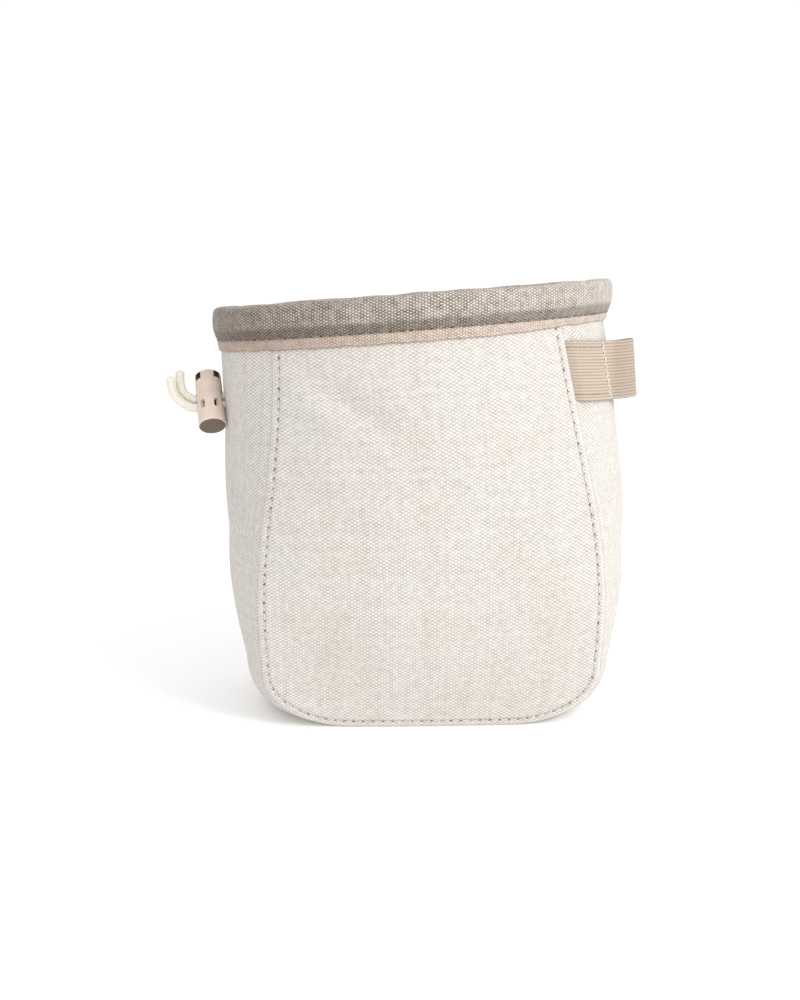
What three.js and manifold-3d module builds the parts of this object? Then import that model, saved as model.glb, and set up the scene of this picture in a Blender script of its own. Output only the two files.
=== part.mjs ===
// Climbing chalk bag: an open cloth bucket with a stiff bound rim, a closing cord with its lock,
// a loop for the brush and a loop for the waist belt.
// Millimetres, +Z up. The bag stands on its flat base, whose centre is the origin.
// The front is towards -Y, the cord lock on the left (-X) and the brush loop on the right (+X).
import * as THREE from 'three'
import { mergeVertices } from 'three/addons/utils/BufferGeometryUtils.js'
import Module from 'manifold-3d'

const wasm = await Module()
wasm.setup()

// Driving sizes of the bag
const bagHeight = 148
const rimWidth = 140
const rimDepth = 110
const bodyWidth = 144.4
const panelWidth = 117.2
const wall = 2
const gap = 0.3

// The bag slumps: its mouth tilts up to the right and its upper part leans to the left. The
// powers say how late on the way up each of the two sets in.
const mouthTilt = THREE.MathUtils.degToRad(4.15)
const mouthShift = 5.5
const tiltPower = 1.3
const shiftPower = 2.8

// The front and back panels are tongues with round lower corners
const cornerWidth = 31
const cornerHeight = 20
const sideCorner = 14
const widestShare = 0.95

// The rim: a stiff core wrapped in a cloth binding that is stitched through both walls
const rimBand = 14.7
const rimCoreHeight = 7.2
const rimBevel = 3.7
const rimStandOut = 2.7
const rimCapHeight = 6
const rimRound = 1
const bindingCloth = 1.1
const bindingFlare = 0.4

// The inner collar that the closing cord draws shut, and the shares of its hem's round profile
const collarCloth = 1.2
const collarDrop = 20
const hemWidth = 4.6
const collarEase = 6.3
const hemNear = 0.3
const hemFar = 0.7
const hemStep = 0.2

// The brush loop on the right gusset hangs below the rim band. It is sewn down from brushEnd to
// brushSewn, shares of the gusset's half depth, and bows out between.
const webbingWidth = 19
const webbingCloth = 1.5
const brushDrop = 3.7
const brushTurn = THREE.MathUtils.degToRad(6.7)
const brushEnd = 0.985
const brushSewn = 0.56
const brushBow = 7.8

// The belt loop on the back panel, which rises off the panel over beltRamp of its free length
const beltLoopWidth = 44
const beltLoopHeight = 42
const beltLoopDrop = 29.3
const beltLoopCloth = 1.8
const beltLoopHem = 5
const beltSlot = 7.5
const beltRamp = 0.3

// The cord lock: a round barrel with a spring plunger, and the cord's two strands through it.
// barrelBelow is how far its closed end lies below the strands.
const cordDiameter = 3.2
const lockFront = 9
const lockDrop = 22.7
const lockClearance = 0.15
const lockLean = THREE.MathUtils.degToRad(40)
const barrelDiameter = 9.4
const barrelLength = 21.4
const barrelBelow = 10
const barrelEnd = 1.6
const barrelWall = 1.3
const barrelRound = 0.9
const notchFrom = 2.3
const notchDepth = 2.7
const buttonWeb = 1.2
const buttonTravel = 2
const buttonStandOut = 0.3
const buttonRound = 0.6
const windowWidth = 1.7
const windowLength = 4.2
const windowSpacing = 4.6
const windowBelow = 2
const runningGap = 0.35
const cordEase = 0.35

// Sections from the base to the rim band's lower edge. up is a share of that height, panel and
// side are shares of the panel's and the body's half width, and seam and crown are shares of the
// seam's depth at the mouth and of how far the panel bows out in front of it there.
const sections = [
  { up: 0.00, panel: 0.975, side: 0.868, seam: 0.790, crown: 0.15 },
  { up: 0.15, panel: 0.990, side: 0.912, seam: 0.885, crown: 0.36 },
  { up: 0.26, panel: 1.000, side: 0.954, seam: 0.950, crown: 0.50 },
  { up: 0.38, panel: 0.996, side: 0.983, seam: 0.995, crown: 0.66 },
  { up: 0.52, panel: 0.962, side: 0.986, seam: 1.020, crown: 0.80 },
  { up: 0.68, panel: 0.902, side: 0.976, seam: 1.025, crown: 0.92 },
  { up: 0.84, panel: 0.845, side: 0.956, seam: 1.015, crown: 0.98 },
  { up: 1.00, panel: 0.802, side: 0.934, seam: 1.000, crown: 1.00 }
]

// Soft dents and folds. across and up are shares of the panel's half width and of the height,
// long and wide are shares of the panel's width, and deep is a share of dentDepth.
const dentDepth = 1.6
const frontDents = [
  { across: -0.55, up: 0.76, turn: -40, long: 0.20, wide: 0.06, deep: 1.0 },
  { across: -0.20, up: 0.62, turn: -30, long: 0.24, wide: 0.08, deep: 0.5 },
  { across: 0.45, up: 0.55, turn: 60, long: 0.22, wide: 0.09, deep: 0.6 },
  { across: -0.35, up: 0.22, turn: 20, long: 0.20, wide: 0.09, deep: -0.5 }
]
const backDents = [
  { across: 0.50, up: 0.40, turn: 35, long: 0.22, wide: 0.08, deep: 0.8 },
  { across: -0.45, up: 0.30, turn: -35, long: 0.20, wide: 0.08, deep: 0.6 }
]

// How finely the surfaces are divided
const panelColumns = 14
const gussetColumns = 12
const cornerSteps = 5
const sideSteps = 10
const baseSteps = 3
const brushSteps = 28
const beltSteps = 16
const beltColumns = 8
const barrelSides = 24
const buttonSides = 20
const slotSides = 6
const cordSides = 8
const slumpPasses = 6

// Derived sizes
const shoulder = bagHeight - rimBand
const wallTop = bagHeight - rimCapHeight
const mouthHalfWidth = rimWidth / 2 - rimStandOut
const mouthHalfDepth = rimDepth / 2 - rimStandOut
const panelMouth = (panelWidth / 2) * sections.at(-1).panel
const seamMouth = mouthHalfDepth * Math.sqrt(1 - (panelMouth / mouthHalfWidth) ** 2)
const crownMouth = mouthHalfDepth - seamMouth
const bodyScale = mouthHalfWidth / (bodyWidth / 2) / sections.at(-1).side

// A value of the section table at a height, on a smooth curve through its rows
function sectionValue(column, z) {
  const share = THREE.MathUtils.clamp(z / shoulder, 0, 1)
  let k = 0
  while (k < sections.length - 2 && share > sections[k + 1].up) k += 1
  const slope = (i) => {
    const low = sections[Math.max(i - 1, 0)]
    const high = sections[Math.min(i + 1, sections.length - 1)]
    return (high[column] - low[column]) / (high.up - low.up)
  }
  const from = sections[k]
  const to = sections[k + 1]
  const span = to.up - from.up
  const s = (share - from.up) / span
  return (2 * s ** 3 - 3 * s ** 2 + 1) * from[column] + (s ** 3 - 2 * s ** 2 + s) * span * slope(k)
    + (3 * s ** 2 - 2 * s ** 3) * to[column] + (s ** 3 - s ** 2) * span * slope(k + 1)
}

const panelHalf = (z) => (panelWidth / 2) * sectionValue('panel', z)
const seamDepth = (z) => seamMouth * sectionValue('seam', z)
const crownDepth = (z) => crownMouth * sectionValue('crown', z)

// The body's widest half width. From blendFrom up, its table comes to the mouth's own width
const blendFrom = 0.7
function sideHalf(z) {
  const blend = THREE.MathUtils.smoothstep(z / shoulder, blendFrom, 1)
  return (bodyWidth / 2) * sectionValue('side', z) * THREE.MathUtils.lerp(1, bodyScale, blend)
}

// 1 in the middle and 0 at the ends of an ellipse's arc that spans a share of its half axis
function bow(along, share) {
  const end = Math.sqrt(1 - share ** 2)
  return (Math.sqrt(1 - (along * share) ** 2) - end) / (1 - end)
}

// How far the dents draw the cloth in. They fade out towards the seams, and from dentsEnd up to
// the rim band.
const dentsEnd = 0.85
function dentsAt(dents, x, z) {
  let depth = 0
  for (const dent of dents) {
    const turn = THREE.MathUtils.degToRad(dent.turn)
    const dx = x - dent.across * panelWidth / 2
    const dz = z - dent.up * bagHeight
    const along = (dx * Math.cos(turn) + dz * Math.sin(turn)) / (dent.long * panelWidth)
    const over = (dz * Math.cos(turn) - dx * Math.sin(turn)) / (dent.wide * panelWidth)
    depth += dentDepth * dent.deep * Math.exp(-(along ** 2) - over ** 2)
  }
  const fade = 1 - Math.min(Math.abs(x) / panelHalf(z), 1) ** 4
  const rimFade = 1 - THREE.MathUtils.smoothstep(z / shoulder, dentsEnd, 1)
  return depth * fade * rimFade * THREE.MathUtils.smoothstep(z, 0, cornerHeight)
}

// How far the front panel's outer face lies in front of the bag's middle plane
function panelDepth(x, z, dents = []) {
  const share = Math.min(panelMouth / mouthHalfWidth, widestShare)
  const along = Math.min(Math.abs(x) / panelHalf(z), 1)
  return seamDepth(z) + crownDepth(z) * bow(along, share) - dentsAt(dents, x, z)
}

// The panel's outline in X and Z. t runs from 0 at the middle of the base, 1 to 2 round the
// corner, 2 to 3 up the side to the rim band and 3 to 4 inside it, and inset moves the whole
// outline inwards.
const sideHeight = (t) => (t <= 3
  ? THREE.MathUtils.lerp(cornerHeight, shoulder, t - 2)
  : THREE.MathUtils.lerp(shoulder, wallTop, t - 3))
const stepAt = (z) => (z <= shoulder
  ? 2 + (z - cornerHeight) / (shoulder - cornerHeight)
  : 3 + (z - shoulder) / (wallTop - shoulder))
const baseHalf = panelHalf(cornerHeight) - cornerWidth
function panelOutline(t, inset = 0) {
  if (t <= 1) return new THREE.Vector2(t * baseHalf, inset)
  if (t <= 2) {
    const angle = (t - 1) * Math.PI / 2
    return new THREE.Vector2(
      baseHalf + (cornerWidth - inset) * Math.sin(angle),
      inset + (cornerHeight - inset) * (1 - Math.cos(angle))
    )
  }
  return new THREE.Vector2(panelHalf(sideHeight(t)) - inset, sideHeight(t))
}

// The same walk round the bag's widest outline, where the gusset bulges most
function bodyOutline(t) {
  const flat = sideHalf(cornerHeight) - sideCorner
  if (t <= 1) return new THREE.Vector2(t * flat, 0)
  if (t <= 2) {
    const angle = (t - 1) * Math.PI / 2
    return new THREE.Vector2(
      flat + sideCorner * Math.sin(angle),
      cornerHeight * (1 - Math.cos(angle))
    )
  }
  return new THREE.Vector2(sideHalf(sideHeight(t)), sideHeight(t))
}

function panelPoint(x, z, dents) {
  return new THREE.Vector3(x, -panelDepth(x, z, dents), z)
}

// A point of the right half of the gusset: v is -1 at the front seam and 1 at the back seam
function gussetPoint(t, v) {
  const seam = panelOutline(Math.abs(t))
  const body = bodyOutline(Math.abs(t))
  const depth = panelDepth(seam.x, seam.y)
  const share = Math.min(seamMouth / mouthHalfDepth, widestShare)
  const out = bow(v, share)
  const x = THREE.MathUtils.lerp(seam.x, body.x, out)
  const z = THREE.MathUtils.lerp(seam.y, body.y, out)
  return new THREE.Vector3(Math.sign(t || 1) * x, v * depth, z)
}

const tiny = 0.01

function panelNormal(x, z, dents) {
  const across = panelPoint(x + tiny, z, dents).sub(panelPoint(x - tiny, z, dents))
  const up = panelPoint(x, z + tiny, dents).sub(panelPoint(x, z - tiny, dents))
  return across.cross(up).normalize()
}

function gussetNormal(t, v) {
  const step = tiny / 10
  const along = gussetPoint(t + step, v).sub(gussetPoint(t - step, v))
  const over = gussetPoint(t, Math.min(v + step, 1)).sub(gussetPoint(t, Math.max(v - step, -1)))
  return over.cross(along).normalize()
}

// The front seam at t. The two cloths meet there in a mitre: face and back are the edge's outer
// and inner points on the panel's side and on the gusset's side of the gap, and draw is how far
// the inner faces draw back from it.
function seamAt(t) {
  const line = (s) => {
    const spot = panelOutline(s)
    return panelPoint(spot.x, spot.y)
  }
  const step = tiny / 10
  const face = line(t)
  const along = line(t + step).sub(line(Math.max(t - step, 0))).normalize()
  const inside = panelOutline(t, 2 * tiny)
  const square = (normal) => normal.addScaledVector(along, -normal.dot(along)).normalize()
  const panel = square(panelNormal(inside.x, inside.y, []))
  const gusset = square(gussetNormal(Math.max(t, tiny), -1))
  const middle = panel.clone().add(gusset).normalize()
  const half = panel.angleTo(middle)
  const corner = face.clone().addScaledVector(middle, -wall / Math.cos(half))
  const intoPanel = along.clone().cross(panel).negate()
  const intoGusset = along.clone().cross(gusset)
  return {
    panelFace: face.clone().addScaledVector(intoPanel, gap / 2),
    panelBack: corner.clone().addScaledVector(intoPanel, gap / 2),
    gussetFace: face.clone().addScaledVector(intoGusset, gap / 2),
    gussetBack: corner.clone().addScaledVector(intoGusset, gap / 2),
    draw: wall * Math.tan(half) + gap / 2
  }
}

// The slump of the whole bag, which leaves the base where it is
function slump(point) {
  const share = THREE.MathUtils.clamp(point.z / shoulder, 0, 1)
  return new THREE.Vector3(
    point.x - mouthShift * share ** shiftPower,
    point.y,
    point.z + point.x * Math.tan(mouthTilt) * share ** tiltPower
  )
}

// A closed body from two grids of points, an outer and an inner face, joined round their edge
function shell(outer, inner) {
  const rows = outer.length
  const columns = outer[0].length
  const points = [...outer.flat(), ...inner.flat()]
  const at = (side, row, column) => (side * rows + row) * columns + column
  const faces = []
  const quad = (a, b, c, d) => faces.push(a, b, c, a, c, d)
  for (let row = 0; row < rows - 1; row += 1) {
    for (let column = 0; column < columns - 1; column += 1) {
      quad(at(0, row, column), at(0, row, column + 1),
        at(0, row + 1, column + 1), at(0, row + 1, column))
      quad(at(1, row, column), at(1, row + 1, column),
        at(1, row + 1, column + 1), at(1, row, column + 1))
    }
    quad(at(0, row, 0), at(0, row + 1, 0), at(1, row + 1, 0), at(1, row, 0))
    const last = columns - 1
    quad(at(0, row + 1, last), at(0, row, last), at(1, row, last), at(1, row + 1, last))
  }
  for (let column = 0; column < columns - 1; column += 1) {
    const last = rows - 1
    quad(at(0, 0, column + 1), at(0, 0, column), at(1, 0, column), at(1, 0, column + 1))
    quad(at(0, last, column), at(0, last, column + 1),
      at(1, last, column + 1), at(1, last, column))
  }
  return solid(points, faces)
}

// A closed body from cross-sections with equally many points, as a ring or with two flat ends
function sweep(rings, closed) {
  const count = rings[0].length
  const points = rings.flat()
  const faces = []
  const steps = closed ? rings.length : rings.length - 1
  for (let k = 0; k < steps; k += 1) {
    const from = k * count
    const to = ((k + 1) % rings.length) * count
    for (let i = 0; i < count; i += 1) {
      const next = (i + 1) % count
      faces.push(from + i, from + next, to + next, from + i, to + next, to + i)
    }
  }
  if (!closed) {
    const last = (rings.length - 1) * count
    for (let i = 1; i < count - 1; i += 1) {
      faces.push(0, i + 1, i, last, last + i, last + i + 1)
    }
  }
  return solid(points, faces)
}

// A closed body from points of the straight bag, which it slumps, with its faces turned outwards
function solid(points, faces) {
  const placed = points.map(slump)
  let volume = 0
  for (let k = 0; k < faces.length; k += 3) {
    const [a, b, c] = [placed[faces[k]], placed[faces[k + 1]], placed[faces[k + 2]]]
    volume += a.dot(b.clone().cross(c))
  }
  const ordered = volume < 0 ? faces.slice().reverse() : faces
  const geometry = new THREE.BufferGeometry().setFromPoints(placed)
  geometry.setIndex(ordered)
  return geometry
}

function toManifold(geometry) {
  const bare = geometry.clone()
  bare.deleteAttribute('normal')
  bare.deleteAttribute('uv')
  const merged = mergeVertices(bare, 1e-4)
  return new wasm.Manifold(new wasm.Mesh({
    numProp: 3,
    vertProperties: new Float32Array(merged.attributes.position.array),
    triVerts: new Uint32Array(merged.index.array)
  }))
}

function fromManifold(body) {
  const mesh = body.getMesh()
  const geometry = new THREE.BufferGeometry()
  geometry.setAttribute('position', new THREE.BufferAttribute(mesh.vertProperties, 3))
  geometry.setIndex(new THREE.BufferAttribute(mesh.triVerts, 1))
  return geometry
}

function cut(geometry, tools) {
  let body = toManifold(geometry)
  for (const tool of tools) body = body.subtract(toManifold(tool))
  return fromManifold(body)
}

// Steps along the outline: round the corner, then up the side to the wall's top
function outlineSteps() {
  const steps = []
  for (let k = 0; k < cornerSteps; k += 1) steps.push(1 + k / cornerSteps)
  for (let k = 0; k <= sideSteps; k += 1) steps.push(2 + k / sideSteps)
  steps.push(4)
  return steps
}

// A panel: rows follow the outline, columns run from its left to its right edge
function panelGeometry(dents, facing) {
  const outer = []
  const inner = []
  for (const t of outlineSteps()) {
    const face = panelOutline(t, gap / 2)
    const back = panelOutline(t, seamAt(t).draw)
    const outerRow = []
    const innerRow = []
    for (let k = 0; k <= panelColumns; k += 1) {
      const u = 2 * k / panelColumns - 1
      if (t === 1 || Math.abs(u) === 1) {
        const seam = seamAt(t === 1 ? Math.abs(u) : t)
        outerRow.push(mirrored(u, seam.panelFace))
        innerRow.push(mirrored(u, seam.panelBack))
      } else {
        outerRow.push(panelPoint(u * face.x, face.y, dents))
        const normal = panelNormal(u * back.x, back.y, dents)
        innerRow.push(panelPoint(u * back.x, back.y, dents).addScaledVector(normal, -wall))
      }
    }
    outer.push(outerRow)
    inner.push(innerRow)
  }
  const turned = (row) => row.map((p) => new THREE.Vector3(p.x, p.y * facing, p.z))
  return shell(outer.map(turned), inner.map(turned))
}

// The gusset: one strip up both sides and across the base, from the front to the back seam
function gussetSteps() {
  const right = outlineSteps()
  for (let k = baseSteps - 1; k > 0; k -= 1) right.unshift(k / baseSteps)
  const left = right.map((t) => -t).reverse()
  return [...left, 0, ...right]
}

function gussetGeometry() {
  const outer = []
  const inner = []
  for (const t of gussetSteps()) {
    const here = Math.abs(t)
    const seam = seamAt(here)
    const across = gussetPoint(here, -1).distanceTo(gussetPoint(here, tiny - 1)) / tiny
    const edge = 1 - seam.draw / across
    const outerRow = [mirrored(t, seam.gussetFace)]
    const innerRow = [mirrored(t, seam.gussetBack)]
    for (let k = 1; k < gussetColumns; k += 1) {
      const v = edge * (2 * k / gussetColumns - 1)
      outerRow.push(mirrored(t, gussetPoint(here, v)))
      const normal = gussetNormal(Math.max(here, tiny), v)
      innerRow.push(mirrored(t, gussetPoint(here, v).addScaledVector(normal, -wall)))
    }
    outerRow.push(toBack(outerRow[0]))
    innerRow.push(toBack(innerRow[0]))
    outer.push(outerRow)
    inner.push(innerRow)
  }
  return shell(outer, inner)
}

function mirrored(side, point) {
  return side < 0 ? new THREE.Vector3(-point.x, point.y, point.z) : point
}

function toBack(point) {
  return new THREE.Vector3(point.x, -point.y, point.z)
}

// The wall's outer line round the bag at a height, each point with its level outward normal
function wallLine(z) {
  const t = stepAt(z)
  const half = panelHalf(z)
  const line = []
  const add = (point, normal) => {
    normal.setZ(0).normalize()
    line.push({ point, normal })
  }
  for (let k = 0; k < panelColumns; k += 1) {
    const x = half * (2 * k / panelColumns - 1)
    add(panelPoint(x, z), panelNormal(x, z, []))
  }
  for (let k = 0; k < gussetColumns; k += 1) {
    const v = 2 * k / gussetColumns - 1
    add(gussetPoint(t, v), gussetNormal(t, v))
  }
  const turned = line.map(({ point, normal }) => ({
    point: new THREE.Vector3(-point.x, -point.y, point.z),
    normal: new THREE.Vector3(-normal.x, -normal.y, 0)
  }))
  return [...line, ...turned]
}

// A ring round the bag from a profile of out, from the wall's outer face, and z
function ringFrom(profile) {
  const lines = new Map()
  for (const { z } of profile) {
    if (!lines.has(z)) lines.set(z, wallLine(z))
  }
  const count = 2 * (panelColumns + gussetColumns)
  const rings = []
  for (let k = 0; k < count; k += 1) {
    rings.push(profile.map(({ out, z }) => {
      const { point, normal } = lines.get(z)[k]
      return point.clone().addScaledVector(normal, out).setZ(z)
    }))
  }
  return sweep(rings, true)
}

// The two cloth walls stand in the rim's slot, from the outside inwards: wall, gap, collar
const slotInner = -(wall + gap + collarCloth)
function rimGeometry() {
  const flange = gap + bindingCloth
  const innerFlange = slotInner - gap - bindingCloth
  const innerFace = innerFlange - (rimStandOut - flange)
  const bevelTop = bagHeight - rimCoreHeight
  const stitch = bevelTop - rimBevel
  const capped = bagHeight - rimCapHeight + gap
  const profile = [
    { out: gap, z: shoulder },
    { out: flange - bindingFlare, z: shoulder },
    { out: flange, z: stitch },
    { out: rimStandOut, z: bevelTop },
    { out: rimStandOut, z: bagHeight - rimRound },
    { out: rimStandOut - rimRound, z: bagHeight },
    { out: innerFace + rimRound, z: bagHeight },
    { out: innerFace, z: bagHeight - rimRound },
    { out: innerFace, z: bevelTop },
    { out: innerFlange, z: stitch },
    { out: innerFlange + bindingFlare, z: shoulder },
    { out: slotInner - gap, z: shoulder },
    { out: slotInner - gap, z: capped },
    { out: gap, z: capped }
  ]
  return ringFrom(profile)
}

// The collar hangs inside the wall from the rim down to its hem, which the cord runs in
function collarGeometry() {
  const face = -(wall + gap)
  const hemFace = face - collarEase
  const hemTop = shoulder - collarDrop + hemWidth
  const hemLow = shoulder - collarDrop - hemWidth / 2
  const middle = (hemTop + shoulder) / 2
  const profile = [
    { out: face, z: wallTop },
    { out: face, z: shoulder },
    { out: hemFace, z: middle },
    { out: hemFace, z: hemTop },
    { out: hemFace - hemWidth * hemNear, z: hemLow },
    { out: hemFace - hemWidth * hemFar, z: hemLow },
    { out: hemFace - hemWidth, z: (hemTop + hemLow) / 2 },
    { out: hemFace - collarCloth, z: hemTop + hemWidth * hemStep },
    { out: hemFace - collarCloth, z: middle },
    { out: face - collarCloth, z: shoulder },
    { out: face - collarCloth, z: wallTop }
  ]
  return ringFrom(profile)
}

// The brush loop: webbing on the right gusset, sewn at both ends and bowed out between them. Its
// sewn parts follow the gusset's slope, and its bow stands upright.
function brushLoopGeometry() {
  const z = shoulder - brushDrop - webbingWidth / 2
  const t = stepAt(z)
  const rings = []
  for (let k = 0; k <= brushSteps; k += 1) {
    const v = brushEnd * (2 * k / brushSteps - 1)
    const drop = (gussetPoint(t, v).x - panelHalf(z)) * Math.tan(brushTurn)
    const upright = Math.max(1 - (v / brushSewn) ** 2, 0)
    const ring = []
    for (const [level, out] of [[0, 0], [1, 0], [1, 1], [0, 1]]) {
      const height = z - drop + webbingWidth * (level - 0.5)
      const here = stepAt(THREE.MathUtils.lerp(height, z, upright))
      const normal = gussetNormal(t, v).setZ(0).normalize()
      const away = gap + brushBow * upright + out * webbingCloth
      ring.push(gussetPoint(here, v).addScaledVector(normal, away).setZ(height))
    }
    rings.push(ring)
  }
  return sweep(rings, false)
}

// The belt loop: a plain band on the back panel, sewn along its top and bottom
function beltLoopGeometry() {
  const sewn = 1 - 2 * beltLoopHem / beltLoopHeight
  const lower = []
  const upper = []
  for (let k = 0; k <= beltSteps; k += 1) {
    const share = 2 * k / beltSteps - 1
    const z = shoulder - beltLoopDrop + share * beltLoopHeight / 2
    const rise = THREE.MathUtils.smoothstep(sewn - Math.abs(share), 0, sewn * beltRamp)
    const lift = beltSlot * rise
    const near = []
    const far = []
    for (let i = 0; i <= beltColumns; i += 1) {
      const x = beltLoopWidth * (i / beltColumns - 0.5)
      const point = panelPoint(x, z, backDents)
      const normal = panelNormal(x, z, [])
      near.push(point.clone().addScaledVector(normal, gap + lift))
      far.push(point.clone().addScaledVector(normal, gap + lift + beltLoopCloth))
    }
    lower.push(near)
    upper.push(far)
  }
  const turned = (row) => row.map((p) => new THREE.Vector3(p.x, -p.y, p.z))
  return shell(upper.map(turned), lower.map(turned))
}

// The left gusset's outer face beside a point of the slumped bag
function leftFace(point) {
  let z = point.z
  let face = point
  for (let pass = 0; pass < slumpPasses; pass += 1) {
    const t = stepAt(z)
    const seam = panelOutline(t)
    const v = THREE.MathUtils.clamp(point.y / panelDepth(seam.x, seam.y), -1, 1)
    face = slump(mirrored(-1, gussetPoint(t, v)))
    z += point.z - face.z
  }
  return face.x
}

// The lock hangs below the rim band. It leans back by lockLean, and sideways so that it lies
// close beside the gusset along its whole length.
const lockAxis = new THREE.Vector3(0, Math.sin(lockLean), Math.cos(lockLean))
const lockMiddle = new THREE.Vector3(0, -lockFront, shoulder - lockDrop)
const barrelLow = -barrelBelow
const barrelHigh = barrelLength - barrelBelow
const besideLock = [barrelLow, 0, barrelHigh].map((along) => ({
  along, face: leftFace(lockMiddle.clone().addScaledVector(lockAxis, along))
}))
const lockSlope = (besideLock[2].face - besideLock[0].face) / barrelLength
const lockCentre = lockMiddle.clone().setX(
  Math.min(...besideLock.map(({ along, face }) => face - along * lockSlope))
    - barrelDiameter / 2 - lockClearance
)

// The lock's own frame: its axis Z runs to the button's end, and the cord runs along its X
const lockPlace = new THREE.Matrix4().compose(
  lockCentre,
  new THREE.Quaternion().setFromEuler(new THREE.Euler(-lockLean, Math.asin(lockSlope), 0)),
  new THREE.Vector3(1, 1, 1)
)
const cordAxis = new THREE.Vector3().setFromMatrixColumn(lockPlace, 0)
const strandStep = cordDiameter / 2 + gap / 2
const boreRadius = barrelDiameter / 2 - barrelWall
const buttonRadius = boreRadius - runningGap
const cordHoleWidth = cordDiameter + 2 * cordEase
const cordHoleLength = 4 * strandStep + 2 * cordEase

// A slot's cutter along X, round at both ends, from one height to another
function slotCutter(width, low, high, reach) {
  const radius = width / 2
  const outline = new THREE.Shape()
  outline.moveTo(-radius, low + radius)
  outline.absarc(0, low + radius, radius, Math.PI, 2 * Math.PI, false)
  outline.lineTo(radius, high - radius)
  outline.absarc(0, high - radius, radius, 0, Math.PI, false)
  const geometry = new THREE.ExtrudeGeometry(outline, {
    depth: 2 * reach, bevelEnabled: false, curveSegments: slotSides
  })
  geometry.translate(0, 0, -reach)
  geometry.rotateX(Math.PI / 2)
  geometry.rotateZ(Math.PI / 2)
  return geometry
}

function latheZ(profile, sides) {
  const points = profile.map(([radius, z]) => new THREE.Vector2(radius, z))
  const geometry = new THREE.LatheGeometry(points, sides)
  geometry.rotateX(Math.PI / 2)
  return geometry
}

// The barrel: a cup closed at its lower end, with a hole for the two strands, two latch windows
// and two notches in its mouth's front
function barrelGeometry() {
  const radius = barrelDiameter / 2
  const low = barrelLow
  const high = barrelHigh
  const cup = latheZ([
    [0, low],
    [radius - barrelRound, low],
    [radius - barrelRound * 0.3, low + barrelRound * 0.3],
    [radius, low + barrelRound],
    [radius, high - barrelRound],
    [radius - barrelRound * 0.5, high],
    [boreRadius, high],
    [boreRadius, low + barrelEnd],
    [0, low + barrelEnd]
  ], barrelSides)
  const cutters = [slotCutter(cordHoleWidth, -cordHoleLength / 2, cordHoleLength / 2, barrelDiameter)]
  for (const side of [-1, 1]) {
    const latch = new THREE.BoxGeometry(windowWidth, barrelDiameter, windowLength)
    latch.translate(
      side * windowSpacing / 2, -barrelDiameter / 2 - boreRadius * 0.3, -windowBelow
    )
    const notch = new THREE.BoxGeometry(barrelDiameter, barrelDiameter, 2 * notchDepth)
    notch.translate(side * (notchFrom + barrelDiameter / 2), -barrelDiameter / 2, high)
    cutters.push(latch, notch)
  }
  return cut(cup, cutters)
}

// The button: a plunger in the barrel, pressed in against its spring to free the cord
function buttonGeometry() {
  const top = barrelHigh + buttonStandOut
  const low = -cordHoleLength / 2 - buttonWeb
  const plunger = latheZ([
    [0, low],
    [buttonRadius, low],
    [buttonRadius, top - buttonRound],
    [buttonRadius - buttonRound, top],
    [0, top]
  ], buttonSides)
  const hole = slotCutter(
    cordHoleWidth, -cordHoleLength / 2, cordHoleLength / 2 + buttonTravel, barrelDiameter
  )
  return cut(plunger, [hole])
}

// The strands' routes from the lock's centre, chosen by hand: from the collar's hem through the
// gusset and the lock to the bare ends. Up to where they leave the barrel they run in its slope.
const upperStrand = [
  [12.7, 1.1, 1.3], [11.0, 1.1, 1.3], [9.2, 1.1, 1.3], [7.2, 1.1, 1.3],
  [5.0, 1.1, 1.3], [2.7, 1.1, 1.3], [0.4, 1.1, 1.3], [-1.8, 1.1, 1.3],
  [-3.9, 1.1, 1.3], [-5.7, 1.1, 1.5], [-7.4, 1.1, 2.3], [-8.8, 1.1, 3.5],
  [-9.8, 1.1, 5.1], [-10.2, 1.1, 6.9], [-10.3, 1.0, 9.3], [-10.1, 0.8, 11.8]
]
const lowerStrand = [
  [13.7, -1.1, -1.3], [12.3, -1.1, -1.3], [10.9, -1.1, -1.3], [9.1, -1.1, -1.3],
  [7.1, -1.1, -1.3], [4.8, -1.1, -1.3], [2.5, -1.1, -1.3], [0.2, -1.1, -1.3],
  [-2.0, -1.1, -1.3], [-4.1, -1.1, -1.3], [-6.1, -1.1, -1.1], [-8.0, -1.1, -0.4],
  [-9.7, -1.1, 0.7], [-11.2, -1.1, 2.1], [-12.3, -1.1, 3.9], [-12.9, -1.1, 5.9],
  [-13.2, -1.2, 8.0], [-13.1, -1.3, 9.9]
]

function strandGeometry(route) {
  const path = new THREE.CatmullRomCurve3(
    route.map(([x, y, z]) => {
      const run = Math.max(x, -barrelDiameter / 2) / cordAxis.x
      return new THREE.Vector3(x, y + run * cordAxis.y, z + run * cordAxis.z).add(lockCentre)
    })
  )
  const section = new THREE.Shape()
  for (let k = 0; k < cordSides; k += 1) {
    const angle = 2 * Math.PI * (k + 0.5) / cordSides
    const spot = [Math.cos(angle) * cordDiameter / 2, Math.sin(angle) * cordDiameter / 2]
    if (k === 0) section.moveTo(...spot)
    else section.lineTo(...spot)
  }
  return new THREE.ExtrudeGeometry(section, { steps: route.length - 1, extrudePath: path })
}

// The materials
const canvas = new THREE.MeshStandardMaterial({ color: 0xe6ded0, roughness: 0.95 })
const binding = new THREE.MeshStandardMaterial({ color: 0xb8a595, roughness: 0.9 })
const webbing = new THREE.MeshStandardMaterial({ color: 0xcbb9a3, roughness: 0.85 })
const thinCloth = new THREE.MeshStandardMaterial({ color: 0xd8cebf, roughness: 0.95 })
const plastic = new THREE.MeshStandardMaterial({ color: 0xc2ab97, roughness: 0.55 })
const cord = new THREE.MeshStandardMaterial({ color: 0xeee9d6, roughness: 0.9 })

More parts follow.
